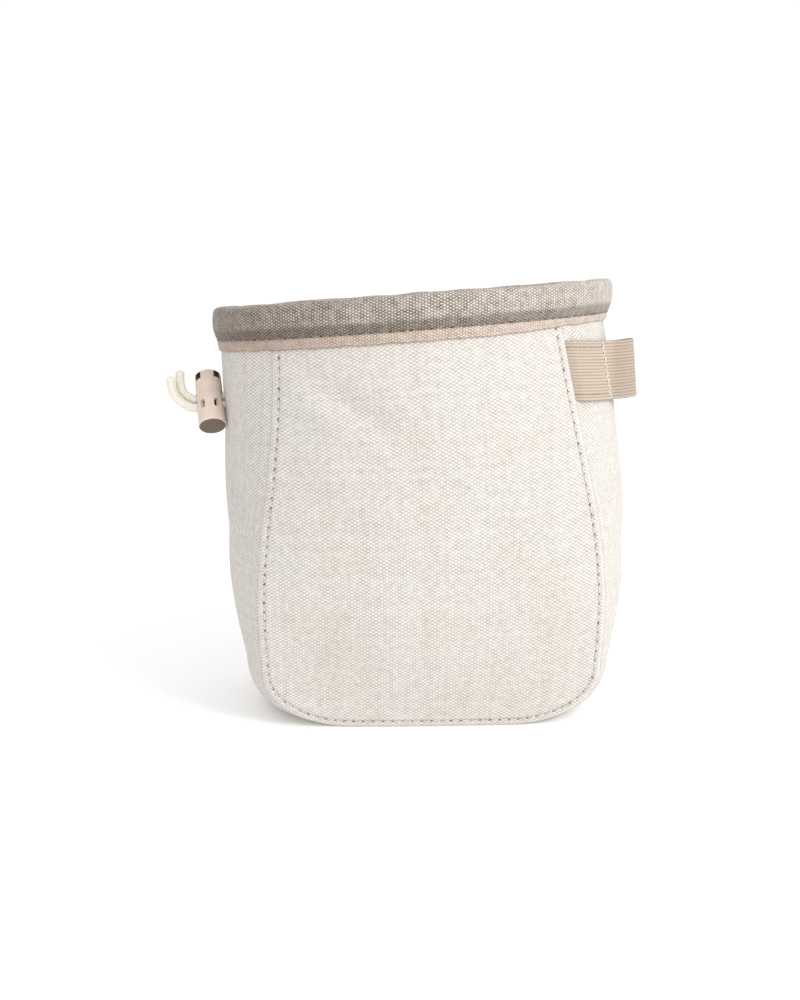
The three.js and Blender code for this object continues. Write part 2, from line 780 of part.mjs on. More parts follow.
const bag = new THREE.Group()
function add(name, geometry, material, parent = bag) {
  const mesh = new THREE.Mesh(geometry, material)
  mesh.name = name
  parent.add(mesh)
}

// The hole in the gusset for the two strands lies in line with the lock
const gussetHole = slotCutter(
  cordHoleWidth + cordEase, -cordHoleLength / 2 - cordEase, cordHoleLength / 2 + cordEase,
  barrelDiameter
)
gussetHole.translate(barrelDiameter, 0, 0)
gussetHole.applyMatrix4(lockPlace)

const lock = new THREE.Group()
lock.applyMatrix4(lockPlace)
bag.add(lock)

add('front_panel', panelGeometry(frontDents, 1), canvas)
add('back_panel', panelGeometry(backDents, -1), canvas)
add('side_gusset', cut(gussetGeometry(), [gussetHole]), canvas)
add('rim_binding', rimGeometry(), binding)
add('closure_collar', collarGeometry(), thinCloth)
add('brush_loop', brushLoopGeometry(), webbing)
add('belt_loop', beltLoopGeometry(), webbing)
add('cord_lock_barrel', barrelGeometry(), plastic, lock)
add('cord_lock_button', buttonGeometry(), plastic, lock)
add('draw_cord_upper', strandGeometry(upperStrand), cord)
add('draw_cord_lower', strandGeometry(lowerStrand), cord)

export default bag
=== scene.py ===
# Climbing chalk bag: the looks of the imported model. Sizes are in millimetres, in the part's own
# frame, and each mesh is turned into metres when it is made.
import math

import bmesh
import bpy
import numpy as np
from mathutils import Matrix, Vector


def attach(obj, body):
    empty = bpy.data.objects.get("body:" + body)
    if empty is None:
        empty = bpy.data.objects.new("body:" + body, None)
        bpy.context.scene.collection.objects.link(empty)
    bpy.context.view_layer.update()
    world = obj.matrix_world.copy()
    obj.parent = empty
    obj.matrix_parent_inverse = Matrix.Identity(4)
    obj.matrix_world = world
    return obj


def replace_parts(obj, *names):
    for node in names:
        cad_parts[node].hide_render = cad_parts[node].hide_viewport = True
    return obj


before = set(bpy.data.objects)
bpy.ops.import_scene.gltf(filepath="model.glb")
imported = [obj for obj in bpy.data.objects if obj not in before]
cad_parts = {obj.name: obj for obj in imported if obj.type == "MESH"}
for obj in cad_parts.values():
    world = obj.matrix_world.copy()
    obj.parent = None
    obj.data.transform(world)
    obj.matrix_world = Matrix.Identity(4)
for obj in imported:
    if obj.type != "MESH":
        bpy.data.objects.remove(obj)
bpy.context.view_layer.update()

MM = 0.001

# The bag's sizes, as the solids have them
BAG_HEIGHT = 148.0
RIM_WIDTH = 140.0
RIM_DEPTH = 110.0
BODY_WIDTH = 144.4
PANEL_WIDTH = 117.2
WALL = 2.0
GAP = 0.3
SEAM_GAP = 0.06
MOUTH_TILT = math.radians(4.15)
MOUTH_SHIFT = 5.5
CORNER_WIDTH = 31.0
CORNER_HEIGHT = 20.0
SIDE_CORNER = 14.0
RIM_BAND = 14.7
RIM_CORE_HEIGHT = 7.2
RIM_BEVEL = 3.7
RIM_STAND_OUT = 2.7
RIM_CAP_HEIGHT = 6.0
BINDING_CLOTH = 1.1
COLLAR_CLOTH = 1.2
COLLAR_DROP = 20.0
COLLAR_EASE = 6.3
HEM_WIDTH = 4.6
WEBBING_WIDTH = 19.0
WEBBING_CLOTH = 1.5
BRUSH_LOOP_TOP = 129.6
BRUSH_TURN = math.radians(6.7)
BRUSH_SEWN = 0.56
BRUSH_BOW = 7.8
BRUSH_TUCK = 0.997
BELT_LOOP_WIDTH = 44.0
BELT_LOOP_HEIGHT = 42.0
BELT_LOOP_CENTRE = 104.0
BELT_LOOP_CLOTH = 1.8
BELT_LOOP_HEM = 5.0
BELT_SLOT = 7.5
CORD_DIAMETER = 3.2
LOCK_CENTRE = Vector((-76.2681, -9.0, 110.6))
LOCK_LEAN = math.radians(40)
LOCK_SLOPE = -0.133834
BARREL_DIAMETER = 9.4
BARREL_LOW = -10.0
BARREL_HIGH = 11.4
BARREL_END = 1.6
BARREL_WALL = 1.3
BUTTON_WEB = 1.2
BUTTON_TRAVEL = 2.0
BUTTON_STAND_OUT = 0.3
RUNNING_GAP = 0.35
CORD_EASE = 0.35

# Sections from the base up to the rim band, as shares: height, panel, side, seam and crown
SECTIONS = np.array([
    (0.00, 0.975, 0.868, 0.790, 0.15),
    (0.15, 0.990, 0.912, 0.885, 0.36),
    (0.26, 1.000, 0.954, 0.950, 0.50),
    (0.38, 0.996, 0.983, 0.995, 0.66),
    (0.52, 0.962, 0.986, 1.020, 0.80),
    (0.68, 0.902, 0.976, 1.025, 0.92),
    (0.84, 0.845, 0.956, 1.015, 0.98),
    (1.00, 0.802, 0.934, 1.000, 1.00),
])
PANEL, SIDE, SEAM, CROWN = 1, 2, 3, 4

SHOULDER = BAG_HEIGHT - RIM_BAND
WALL_TOP = BAG_HEIGHT - RIM_CAP_HEIGHT
MOUTH_HALF_WIDTH = RIM_WIDTH / 2 - RIM_STAND_OUT
MOUTH_HALF_DEPTH = RIM_DEPTH / 2 - RIM_STAND_OUT
PANEL_MOUTH = PANEL_WIDTH / 2 * SECTIONS[-1][PANEL]
SEAM_MOUTH = MOUTH_HALF_DEPTH * math.sqrt(1 - (PANEL_MOUTH / MOUTH_HALF_WIDTH) ** 2)
CROWN_MOUTH = MOUTH_HALF_DEPTH - SEAM_MOUTH
BODY_SCALE = MOUTH_HALF_WIDTH / (BODY_WIDTH / 2) / SECTIONS[-1][SIDE]

# Dents: share across, share up, turn in degrees, length and width as shares, and depth in mm
FRONT_DENTS = (
    (-0.49, 0.795, -36, 0.17, 0.042, 2.6),
    (-0.58, 0.76, -38, 0.18, 0.05, -0.9),
    (-0.28, 0.86, -30, 0.14, 0.04, 0.6),
    (-0.20, 0.62, -30, 0.24, 0.08, 1.0),
    (-0.62, 0.56, -38, 0.16, 0.05, 0.8),
    (0.45, 0.55, 60, 0.22, 0.09, 1.1),
    (-0.35, 0.22, 20, 0.20, 0.09, -0.9),
    (-0.66, 0.26, 25, 0.10, 0.035, 1.0),
    (-0.70, 0.18, 15, 0.08, 0.03, 0.9),
    (0.20, 0.30, -25, 0.30, 0.10, 0.6),
    (0.05, 0.80, 15, 0.20, 0.10, -0.5),
)
BACK_DENTS = (
    (0.50, 0.40, 35, 0.22, 0.08, 1.3),
    (-0.45, 0.30, -35, 0.20, 0.08, 1.0),
    (0.10, 0.20, 10, 0.28, 0.07, -0.7),
)
# The gusset's dents: side, share of v, height, turn, length, width and depth in mm
GUSSET_DENTS = (
    (-1, -0.60, 84, 55, 22, 6, 0.9),
    (-1, -0.25, 62, 50, 24, 7, 0.9),
    (-1, 0.45, 80, -50, 26, 8, 0.9),
    (1, -0.30, 60, -48, 26, 7, 0.8),
    (1, 0.40, 88, 50, 26, 8, 0.9),
)


def lerp(a, b, share):
    return a + (b - a) * share


def smooth(x, low, high):
    s = np.clip((np.asarray(x, float) - low) / (high - low), 0, 1)
    return s * s * (3 - 2 * s)


def section_value(column, z):
    share = np.clip(np.asarray(z, float) / SHOULDER, 0, 1)
    up, value = SECTIONS[:, 0], SECTIONS[:, column]
    slopes = np.empty(len(up))
    for i in range(len(up)):
        low, high = max(i - 1, 0), min(i + 1, len(up) - 1)
        slopes[i] = (value[high] - value[low]) / (up[high] - up[low])
    k = np.clip(np.searchsorted(up, share, side="left") - 1, 0, len(up) - 2)
    span = up[k + 1] - up[k]
    s = (share - up[k]) / span
    return (
        (2 * s**3 - 3 * s**2 + 1) * value[k]
        + (s**3 - 2 * s**2 + s) * span * slopes[k]
        + (3 * s**2 - 2 * s**3) * value[k + 1]
        + (s**3 - s**2) * span * slopes[k + 1]
    )


def panel_half(z):
    return PANEL_WIDTH / 2 * section_value(PANEL, z)


def side_half(z):
    blend = smooth(np.asarray(z, float) / SHOULDER, 0.7, 1)
    return BODY_WIDTH / 2 * section_value(SIDE, z) * lerp(1, BODY_SCALE, blend)


def bow(along, share):
    end = math.sqrt(1 - share**2)
    return (np.sqrt(1 - (along * share) ** 2) - end) / (1 - end)


def dents_at(dents, x, z):
    depth = 0
    for across, up, turn, long, wide, deep in dents:
        turn = math.radians(turn)
        dx = x - across * PANEL_WIDTH / 2
        dz = z - up * BAG_HEIGHT
        along = (dx * math.cos(turn) + dz * math.sin(turn)) / (long * PANEL_WIDTH)
        over = (dz * math.cos(turn) - dx * math.sin(turn)) / (wide * PANEL_WIDTH)
        depth = depth + deep * np.exp(-(along**2) - over**2)
    fade = 1 - np.minimum(np.abs(x) / panel_half(z), 1) ** 4
    return depth * fade * (1 - smooth(z / SHOULDER, 0.85, 1)) * smooth(z, 0, CORNER_HEIGHT)


def panel_depth(x, z, dents=()):
    share = min(PANEL_MOUTH / MOUTH_HALF_WIDTH, 0.95)
    along = np.minimum(np.abs(x) / panel_half(z), 1)
    depth = SEAM_MOUTH * section_value(SEAM, z)
    depth = depth + CROWN_MOUTH * section_value(CROWN, z) * bow(along, share)
    return depth - dents_at(dents, x, z) if dents else depth


def side_height(t):
    return np.where(
        t <= 3, lerp(CORNER_HEIGHT, SHOULDER, t - 2), lerp(SHOULDER, WALL_TOP, t - 3)
    )


def step_at(z):
    z = np.asarray(z, float)
    return np.where(
        z <= SHOULDER,
        2 + (z - CORNER_HEIGHT) / (SHOULDER - CORNER_HEIGHT),
        3 + (z - SHOULDER) / (WALL_TOP - SHOULDER),
    )


BASE_HALF = float(panel_half(CORNER_HEIGHT)) - CORNER_WIDTH
BODY_BASE_HALF = float(side_half(CORNER_HEIGHT)) - SIDE_CORNER


def rounded_outline(t, flat, corner, side, inset):
    """Half of the base for t from 0 to 1, a round corner from 1 to 2, and the side from 2 up."""
    t = np.asarray(t, float)
    angle = np.clip(t - 1, 0, 1) * math.pi / 2
    height = side_height(np.maximum(t, 2))
    corner_x = flat + (corner - inset) * np.sin(angle)
    corner_z = inset + (CORNER_HEIGHT - inset) * (1 - np.cos(angle))
    x = np.where(t <= 1, t * flat, np.where(t <= 2, corner_x, side(height) - inset))
    return x, np.where(t <= 1, inset, np.where(t <= 2, corner_z, height))


def panel_outline(t, inset=0.0):
    return rounded_outline(t, BASE_HALF, CORNER_WIDTH, panel_half, inset)


def body_outline(t):
    return rounded_outline(t, BODY_BASE_HALF, SIDE_CORNER, side_half, 0.0)


def panel_point(x, z, dents=()):
    x, z = np.broadcast_arrays(np.asarray(x, float), np.asarray(z, float))
    return np.stack([x, -panel_depth(x, z, dents), z], -1)


def gusset_point(t, v):
    t, v = np.broadcast_arrays(np.asarray(t, float), np.asarray(v, float))
    seam_x, seam_z = panel_outline(np.abs(t))
    body_x, body_z = body_outline(np.abs(t))
    out = bow(v, min(SEAM_MOUTH / MOUTH_HALF_DEPTH, 0.95))
    x = lerp(seam_x, body_x, out) * np.where(t < 0, -1, 1)
    return np.stack([x, v * panel_depth(seam_x, seam_z), lerp(seam_z, body_z, out)], -1)


def unit(vectors):
    return vectors / np.maximum(np.linalg.norm(vectors, axis=-1, keepdims=True), 1e-12)


def run_along(line):
    """The length along a line up to each of its points."""
    steps = np.linalg.norm(np.diff(line, axis=0), axis=1)
    return np.concatenate([[0], np.cumsum(steps)])


TINY = 0.01


def panel_normal(x, z, dents=()):
    x, z = np.broadcast_arrays(np.asarray(x, float), np.asarray(z, float))
    across = panel_point(x + TINY, z, dents) - panel_point(x - TINY, z, dents)
    up = panel_point(x, z + TINY, dents) - panel_point(x, z - TINY, dents)
    return unit(np.cross(across, up))


def gusset_normal(t, v):
    step = TINY / 10
    t, v = np.broadcast_arrays(np.asarray(t, float), np.asarray(v, float))
    along = gusset_point(t + step, v) - gusset_point(t - step, v)
    over = gusset_point(t, np.minimum(v + step, 1)) - gusset_point(t, np.maximum(v - step, -1))
    return unit(np.cross(over, along))


def seam_at(t):
    t = np.asarray(t, float)
    step = TINY / 10

    def line(s):
        return panel_point(*panel_outline(s))

    face = line(t)
    along = unit(line(t + step) - line(np.maximum(t - step, 0)))
    inside_x, inside_z = panel_outline(t, 2 * TINY)

    def square(normal):
        return unit(normal - along * np.sum(normal * along, -1, keepdims=True))

    panel = square(panel_normal(inside_x, inside_z))
    gusset = square(gusset_normal(np.maximum(t, TINY), -1))
    middle = unit(panel + gusset)
    half = np.arccos(np.clip(np.sum(panel * middle, -1), -1, 1))[..., None]
    corner = face - middle * WALL / np.cos(half)
    into_panel = -np.cross(along, panel)
    into_gusset = np.cross(along, gusset)
    return {
        "panel_face": face + into_panel * SEAM_GAP / 2,
        "panel_back": corner + into_panel * GAP / 2,
        "gusset_face": face + into_gusset * SEAM_GAP / 2,
        "gusset_back": corner + into_gusset * GAP / 2,
        "panel_normal": panel,
        "draw": (WALL * np.tan(half) + GAP / 2)[..., 0],
    }


def slump(points):
    share = np.clip(points[..., 2] / SHOULDER, 0, 1)
    x = points[..., 0] - MOUTH_SHIFT * share**2.8
    z = points[..., 2] + points[..., 0] * math.tan(MOUTH_TILT) * share**1.3
    return np.stack([x, points[..., 1], z], -1)


def waves(seed, count, low, high):
    """Smooth noise of one variable: the sum of sines with seeded lengths and phases."""
    rng = np.random.default_rng(seed)
    turns = rng.uniform(low, high, count)
    phases = rng.uniform(0, 2 * math.pi, count)

    def value(s):
        s = np.asarray(s, float)[..., None]
        return np.sin(2 * math.pi * s * turns + phases).sum(-1) / math.sqrt(count)

    return value


class Sheets:
    """Collects grids of points as one mesh, with a weave map and a seam map."""

    def __init__(self):
        self.points, self.quads, self.weave, self.seam, self.count = [], [], [], [], 0

    def vertices(self, points):
        first = self.count
        flat = points.reshape(-1, 3)
        self.points.append(flat)
        self.count += len(flat)
        return first + np.arange(len(flat)).reshape(points.shape[:-1])

    def faces(self, index, weave, seam=None, turned=False):
        """index is a grid of vertices, and weave and seam are maps of the same shape."""
        corners = [
            (slice(None, -1), slice(None, -1)), (slice(None, -1), slice(1, None)),
            (slice(1, None), slice(1, None)), (slice(1, None), slice(None, -1)),
        ]
        if turned:
            corners = corners[::-1]
        if seam is None:
            seam = np.full(weave.shape, -99.0)
        self.quads.append(np.stack([index[c] for c in corners], -1).reshape(-1, 4))
        self.weave.append(np.stack([weave[c] for c in corners], -2).reshape(-1, 2))
        self.seam.append(np.stack([seam[c] for c in corners], -2).reshape(-1, 2))

    def piece(self, name, material, slot, placed=True):
        points = np.concatenate(self.points)
        if placed:
            points = slump(points)
        quads = np.concatenate(self.quads)
        mesh = bpy.data.meshes.new(name)
        mesh.vertices.add(len(points))
        mesh.vertices.foreach_set("co", (points * MM).astype(np.float32).ravel())
        mesh.loops.add(quads.size)
        mesh.loops.foreach_set("vertex_index", quads.astype(np.int32).ravel())
        mesh.polygons.add(len(quads))
        starts = np.arange(0, quads.size, 4, dtype=np.int32)
        mesh.polygons.foreach_set("loop_start", starts)
        mesh.update(calc_edges=True)
        mesh.polygons.foreach_set("use_smooth", np.ones(len(quads), bool))
        for key, maps in (("weave", self.weave), ("seam", self.seam)):
            layer = mesh.uv_layers.new(name=key)
            layer.data.foreach_set("uv", np.concatenate(maps).astype(np.float32).ravel())
        mesh.materials.append(material)
        mesh.validate()
        piece = bpy.data.objects.new(name, mesh)
        bpy.context.scene.collection.objects.link(piece)
        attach(piece, "bag")
        return piece


def outward(piece):
    """Turns the faces outwards if the closed mesh's volume says that they face inwards."""
    mesh = piece.data
    mesh.calc_loop_triangles()
    corners = np.zeros(len(mesh.loop_triangles) * 3, np.int32)
    mesh.loop_triangles.foreach_get("vertices", corners)
    points = np.zeros(len(mesh.vertices) * 3, np.float32)
    mesh.vertices.foreach_get("co", points)
    a, b, c = points.reshape(-1, 3).astype(float)[corners.reshape(-1, 3)].transpose(1, 0, 2)
    if np.sum(a * np.cross(b, c)) < 0:
        mesh.flip_normals()
    return piece


def shell(name, outer, inner, weave, seam, material, slot):
    """A closed sheet from an outer and an inner grid."""
    sheets = Sheets()
    face = sheets.vertices(outer)
    back = sheets.vertices(inner)
    sheets.faces(face, weave, seam)
    sheets.faces(back, weave, None, turned=True)
    for edge in (np.s_[0, :], np.s_[-1, :], np.s_[:, 0], np.s_[:, -1]):
        index = np.stack([face[edge], back[edge]])
        turned = edge[0] == -1 or (edge[0] == slice(None) and edge[1] == 0)
        sheets.faces(index, np.stack([weave[edge]] * 2), None, turned=not turned)
    return outward(sheets.piece(name, material, slot))


def ring(name, rings, weave, seam, material, slot):
    """A closed ring: rings[k] is the profile at step k. The maps have one step and point more."""
    sheets = Sheets()
    index = sheets.vertices(rings)
    index = np.concatenate([index, index[:1]], 0)
    index = np.concatenate([index, index[:, :1]], 1)
    sheets.faces(index, weave, seam)
    return outward(sheets.piece(name, material, slot))


def srgb(red, green, blue):
    def linear(value):
        value /= 255
        return value / 12.92 if value <= 0.04045 else ((value + 0.055) / 1.055) ** 2.4

    return (linear(red), linear(green), linear(blue), 1.0)


class Graph:
    """A material's nodes. A value is a number, a colour or another node's output."""

    def __init__(self, name):
        self.material = bpy.data.materials.new(name)
        self.material.use_nodes = True
        self.nodes = self.material.node_tree.nodes
        self.links = self.material.node_tree.links
        self.nodes.clear()

    def put(self, socket, value):
        if isinstance(value, bpy.types.NodeSocket):
            self.links.new(value, socket)
        else:
            socket.default_value = value

    def add(self, kind, inputs=None, **settings):
        node = self.nodes.new(kind)
        for key, value in settings.items():
            setattr(node, key, value)
        for key, value in (inputs or {}).items():
            self.put(node.inputs[key], value)
        return node

    def math(self, operation, *values):
        node = self.add("ShaderNodeMath", operation=operation)
        for socket, value in zip(node.inputs, values):
            self.put(socket, value)
        return node.outputs[0]

    def mix(self, share, low, high, blend="MIX"):
        node = self.add("ShaderNodeMix", data_type="RGBA", blend_type=blend)
        self.put(node.inputs[0], share)
        self.put(node.inputs[6], low)
        self.put(node.inputs[7], high)
        return node.outputs[2]

    def range(self, value, low, high, new_low, new_high, kind="SMOOTHSTEP"):
        node = self.add("ShaderNodeMapRange", interpolation_type=kind)
        for key, number in zip(range(5), (value, low, high, new_low, new_high)):
            self.put(node.inputs[key], number)
        return node.outputs[0]

    def place(self):
        return self.add("ShaderNodeTexCoord").outputs["Object"]

    def place_x(self):
        return self.add("ShaderNodeSeparateXYZ", {"Vector": self.place()}).outputs["X"]

    def noise(self, scale, detail=2.0):
        inputs = {"Vector": self.place(), "Scale": scale, "Detail": detail}
        return self.add("ShaderNodeTexNoise", inputs).outputs["Fac"]

    def map(self, name):
        node = self.add("ShaderNodeUVMap", uv_map=name)
        parts = self.add("ShaderNodeSeparateXYZ", {"Vector": node.outputs["UV"]})
        return parts.outputs["X"], parts.outputs["Y"]

    def finish(self, color, rough, heights, sheen=0.0, sheen_rough=0.5, specular=0.3):
        """heights are pairs of a height from 0 to 1 and its real depth in metres."""
        shader = self.add("ShaderNodeBsdfPrincipled", {"Base Color": color, "Roughness": rough})
        shader.inputs["Specular IOR Level"].default_value = specular
        shader.inputs["Sheen Weight"].default_value = sheen
        shader.inputs["Sheen Roughness"].default_value = sheen_rough
        normal = None
        for height, depth in heights:
            bump = self.add("ShaderNodeBump", {"Height": height, "Distance": depth})
            bump.inputs["Strength"].default_value = 1.0
            if normal is not None:
                self.links.new(normal, bump.inputs["Normal"])
            normal = bump.outputs["Normal"]
        if normal is not None:
            self.links.new(normal, shader.inputs["Normal"])
        out = self.add("ShaderNodeOutputMaterial")
        self.links.new(shader.outputs[0], out.inputs["Surface"])
        return self.material


def hole_mask(graph, pitch, centre, long, wide):
    """Up to 1 in a needle hole and 0 outside it, from the seam map in millimetres."""
    along, over = graph.map("seam")
    place = graph.math("ADD", graph.math("DIVIDE", along, pitch), 0.5)
    step = graph.math("SUBTRACT", graph.math("FRACT", place), 0.5)
    step = graph.math("MULTIPLY", step, pitch / long)
    over = graph.math("DIVIDE", graph.math("SUBTRACT", over, centre), wide)
    reach = graph.math("ADD", graph.math("POWER", graph.math("ABSOLUTE", step), 2.0),
                       graph.math("POWER", graph.math("ABSOLUTE", over), 2.0))
    # No two holes are open equally wide
    chance = graph.add("ShaderNodeTexWhiteNoise", noise_dimensions="1D")
    graph.put(chance.inputs["W"], graph.math("FLOOR", place))
    open_share = graph.range(chance.outputs["Value"], 0.0, 1.0, 0.45, 1.0, "LINEAR")
    return graph.math("MULTIPLY", graph.range(reach, 0.3, 1.3, 1.0, 0.0), open_share)


def weave_material(name, light, dark, deep, tint, sheen, holes=(), flecks=0.0, wear=None,
                   bands=(), spread=(0.0, 1.0), sides=None, dots=0.16, relief=0.00016,
                   rough=0.92, specular=0.3):
    """Plain weave: warp threads run along the map's second number, weft along its first.

    bands are parts beside a seam that are drawn darker or lighter, mostly painted shade and painted
    light: from, to, how softly they end, the blend, its share and colour.
    spread is the range of thread heights from the dark colour to the light one. sides are the
    colour that multiplies the cloth at the bag's left end, a painted shade, and the one that it
    nears at the right, a painted light. dots says how much both threads of a crossing show as dots.
    """
    graph = Graph(name)
    across, along = graph.map("weave")
    sway = graph.noise(160.0, 2.0)
    sway = graph.math("MULTIPLY", graph.math("SUBTRACT", sway, 0.5), 0.5)
    across = graph.math("ADD", across, sway)
    along = graph.math("ADD", along, sway)
    warp = graph.math("SINE", graph.math("MULTIPLY", across, math.pi))
    weft = graph.math("SINE", graph.math("MULTIPLY", along, math.pi))
    crossing = graph.math("MULTIPLY", warp, weft)
    half = (1 - dots) / 2
    over = graph.math("ADD", graph.math("MULTIPLY", crossing, half), half)
    under = graph.math("POWER", graph.math("ABSOLUTE", crossing), 0.7)
    height = graph.math("ADD", over, graph.math("MULTIPLY", under, dots))
    # Each thread is a little lighter or darker than the next
    shades = []
    for value in (across, along):
        thread = graph.add("ShaderNodeTexWhiteNoise", noise_dimensions="1D")
        graph.put(thread.inputs["W"], graph.math("FLOOR", value))
        shades.append(thread.outputs["Value"])
    shade = graph.math("SUBTRACT", graph.math("ADD", *shades), 1.0)
    fibre = graph.noise(2600.0, 3.0)
    slub = graph.math("SUBTRACT", graph.noise(520.0, 2.0), 0.5)
    mix = graph.math("ADD", height, graph.math("MULTIPLY", shade, 0.06))
    mix = graph.math("ADD", mix, graph.math("MULTIPLY", slub, 0.5))
    mix = graph.math("ADD", mix, graph.math("MULTIPLY", graph.math("SUBTRACT", fibre, 0.5), 0.5))
    # Low parts of the weave take the dark colour: partly the yarns' own tone, partly painted shade
    # in the gaps between the threads
    color = graph.mix(graph.range(mix, *spread, 0.0, 1.0, "LINEAR"), dark, light)
    # sides paint shade on the bag's left end and light towards its right
    if sides:
        place = graph.place_x()
        reach = RIM_WIDTH / 2 * MM
        share = graph.range(place, -reach, 0.0, 0.0, 1.0, "LINEAR")
        color = graph.mix(1.0, color, graph.mix(share, sides[0], (1, 1, 1, 1)), "MULTIPLY")
        color = graph.mix(graph.range(place, 0.0, reach, 0.0, 0.26, "LINEAR"), color, sides[1])
    # Faint blotches of a second tint
    blotch = graph.range(graph.noise(42.0, 3.0), 0.42, 0.72, 0.0, 1.0)
    blotch = graph.math("MULTIPLY", blotch, 0.3)
    color = graph.mix(blotch, color, graph.mix(1.0, color, tint, "MULTIPLY"))
    if flecks:
        place = graph.add("ShaderNodeTexVoronoi", {"Scale": 95.0}, feature="F1")
        graph.put(place.inputs["Vector"], graph.place())
        chance = graph.add("ShaderNodeSeparateColor", {"Color": place.outputs["Color"]})
        spot = graph.math("LESS_THAN", place.outputs["Distance"], 0.045)
        rare = graph.math("LESS_THAN", chance.outputs[0], 0.3)
        spot = graph.math("MULTIPLY", graph.math("MULTIPLY", spot, rare), flecks)
        color = graph.mix(spot, color, deep)
    if wear or bands:
        _, edge = graph.map("seam")
    if wear:
        low, high, share = wear
        worn = graph.range(edge, low, high, share, 0.0)
        near = graph.math("GREATER_THAN", edge, -50.0)
        color = graph.mix(graph.math("MULTIPLY", worn, near), color, light)
    # Bands beside the seam, drawn darker or lighter: mostly painted shade and painted light
    for low, high, soft, blend, share, band in bands:
        inside = graph.math("MULTIPLY", graph.range(edge, low - 0.3, low + 0.3, 0.0, share),
                            graph.range(edge, high - soft, high + soft, 1.0, 0.0))
        color = graph.mix(inside, color, band, blend)
    heights = [(graph.math("ADD", height, graph.math("MULTIPLY", fibre, 0.25)), relief)]
    for pitch, centre, long, wide in holes:
        hole = hole_mask(graph, pitch, centre, long, wide)
        # The needle holes' dark colour is painted shade in the holes
        color = graph.mix(hole, color, deep)
        heights.append((graph.math("SUBTRACT", 1.0, hole), 0.0003))
    return graph.finish(color, rough, heights, sheen, specular=specular)


def thread_material(name, light, dark):
    graph = Graph(name)
    twist = graph.noise(1500.0, 2.0)
    color = graph.mix(graph.range(twist, 0.3, 0.7, 0.0, 1.0), dark, light)
    return graph.finish(color, 0.75, [(twist, 0.00012)], 0.2)


# The materials
PANEL_PITCH, PANEL_STITCH_IN = 3.38, 2.25
RIM_PITCH, COLLAR_PITCH = 3.1, 3.4
CANVAS_LIGHT, CANVAS_DARK = srgb(242, 238, 233), srgb(170, 163, 154)
# The holes' dark colour is painted shade; the canvas's flecks take the same colour
HOLE_SHADE_AND_FLECK, CANVAS_TINT = srgb(92, 78, 66), srgb(252, 244, 240)
canvas = weave_material(
    "canvas", CANVAS_LIGHT, CANVAS_DARK, HOLE_SHADE_AND_FLECK, CANVAS_TINT, 0.15,
    holes=((PANEL_PITCH, PANEL_STITCH_IN, 0.95, 0.34),), flecks=0.3, wear=(0.2, 1.3, 0.35),
    dots=0.26,
)
canvas_side = weave_material(
    "canvas_side", CANVAS_LIGHT, CANVAS_DARK, HOLE_SHADE_AND_FLECK, CANVAS_TINT, 0.15, flecks=0.3,
    dots=0.26,
)
# The rim's cloth is darker on the bevel above the stitches, a painted shade where it faces down;
# lighter on the flange below them, partly its own tone and partly painted light; and darker at the
# flange's lower edge, a painted shadow line
rim_cloth = weave_material(
    "rim_cloth", srgb(246, 236, 224), srgb(88, 75, 66), srgb(46, 32, 24), srgb(250, 240, 232),
    0.2, holes=((RIM_PITCH, 0.0, 0.95, 0.36),), relief=0.00018, rough=0.7, specular=0.5,
    bands=((0.4, 3.6, 1.0, "MULTIPLY", 1.0, srgb(196, 191, 188)),
           (-6.0, -0.2, 0.3, "MIX", 0.3, srgb(232, 204, 184)),
           (-6.0, -3.7, 0.3, "MULTIPLY", 0.8, srgb(186, 164, 146))),
    # sides: painted shade on the rim's left end, painted light towards its right
    spread=(0.2, 1.02), sides=(srgb(208, 200, 194), srgb(226, 217, 208)), dots=0.42,
)
collar_cloth = weave_material(
    "collar_cloth", srgb(226, 219, 207), srgb(182, 172, 158), srgb(70, 58, 48),
    srgb(250, 240, 232), 0.2, holes=((COLLAR_PITCH, 0.0, 0.5, 0.3),), relief=0.00008,
)
canvas_thread = thread_material("canvas_thread", srgb(240, 235, 228), srgb(200, 193, 183))
rim_thread = thread_material("rim_thread", srgb(170, 150, 134), srgb(104, 88, 76))
white_thread = thread_material("white_thread", srgb(244, 238, 230), srgb(214, 202, 190))
webbing_thread = thread_material("webbing_thread", srgb(172, 160, 148), srgb(136, 124, 112))


def webbing_material():
    """Ribs run along the webbing; each rib is a warp thread that floats over the weft."""
    graph = Graph("webbing")
    across, along = graph.map("weave")
    rib = graph.math("ABSOLUTE", graph.math("SINE", graph.math("MULTIPLY", across, math.pi)))
    step = graph.math("ADD", along, graph.math("MULTIPLY", graph.math("FLOOR", across), 0.5))
    pick = graph.math("ABSOLUTE", graph.math("SINE", graph.math("MULTIPLY", step, math.pi)))
    thread = graph.add("ShaderNodeTexWhiteNoise", noise_dimensions="1D")
    graph.put(thread.inputs["W"], graph.math("FLOOR", across))
    fibre = graph.noise(2600.0, 3.0)
    height = graph.math("ADD", graph.math("POWER", rib, 0.6), graph.math("MULTIPLY", pick, 0.25))
    mix = graph.math("ADD", height, graph.math("MULTIPLY", thread.outputs["Value"], 0.16))
    mix = graph.math("ADD", mix, graph.math("MULTIPLY", graph.math("SUBTRACT", fibre, 0.5), 0.5))
    # The grooves between the ribs take the darker colour: partly the yarn's own tone, partly
    # painted shade
    color = graph.range(mix, 0.0, 1.3, 0.0, 1.0)
    color = graph.mix(color, srgb(140, 123, 106), srgb(194, 178, 161))
    # The free part of the brush loop is handled more and a little darker
    free = graph.range(graph.place_x(), 0.060, 0.064, 0.0, 1.0)
    color = graph.mix(free, color, graph.mix(1.0, color, srgb(236, 234, 232), "MULTIPLY"))
    return graph.finish(color, 0.8, [(height, 0.0001), (fibre, 0.00005)], 0.2)


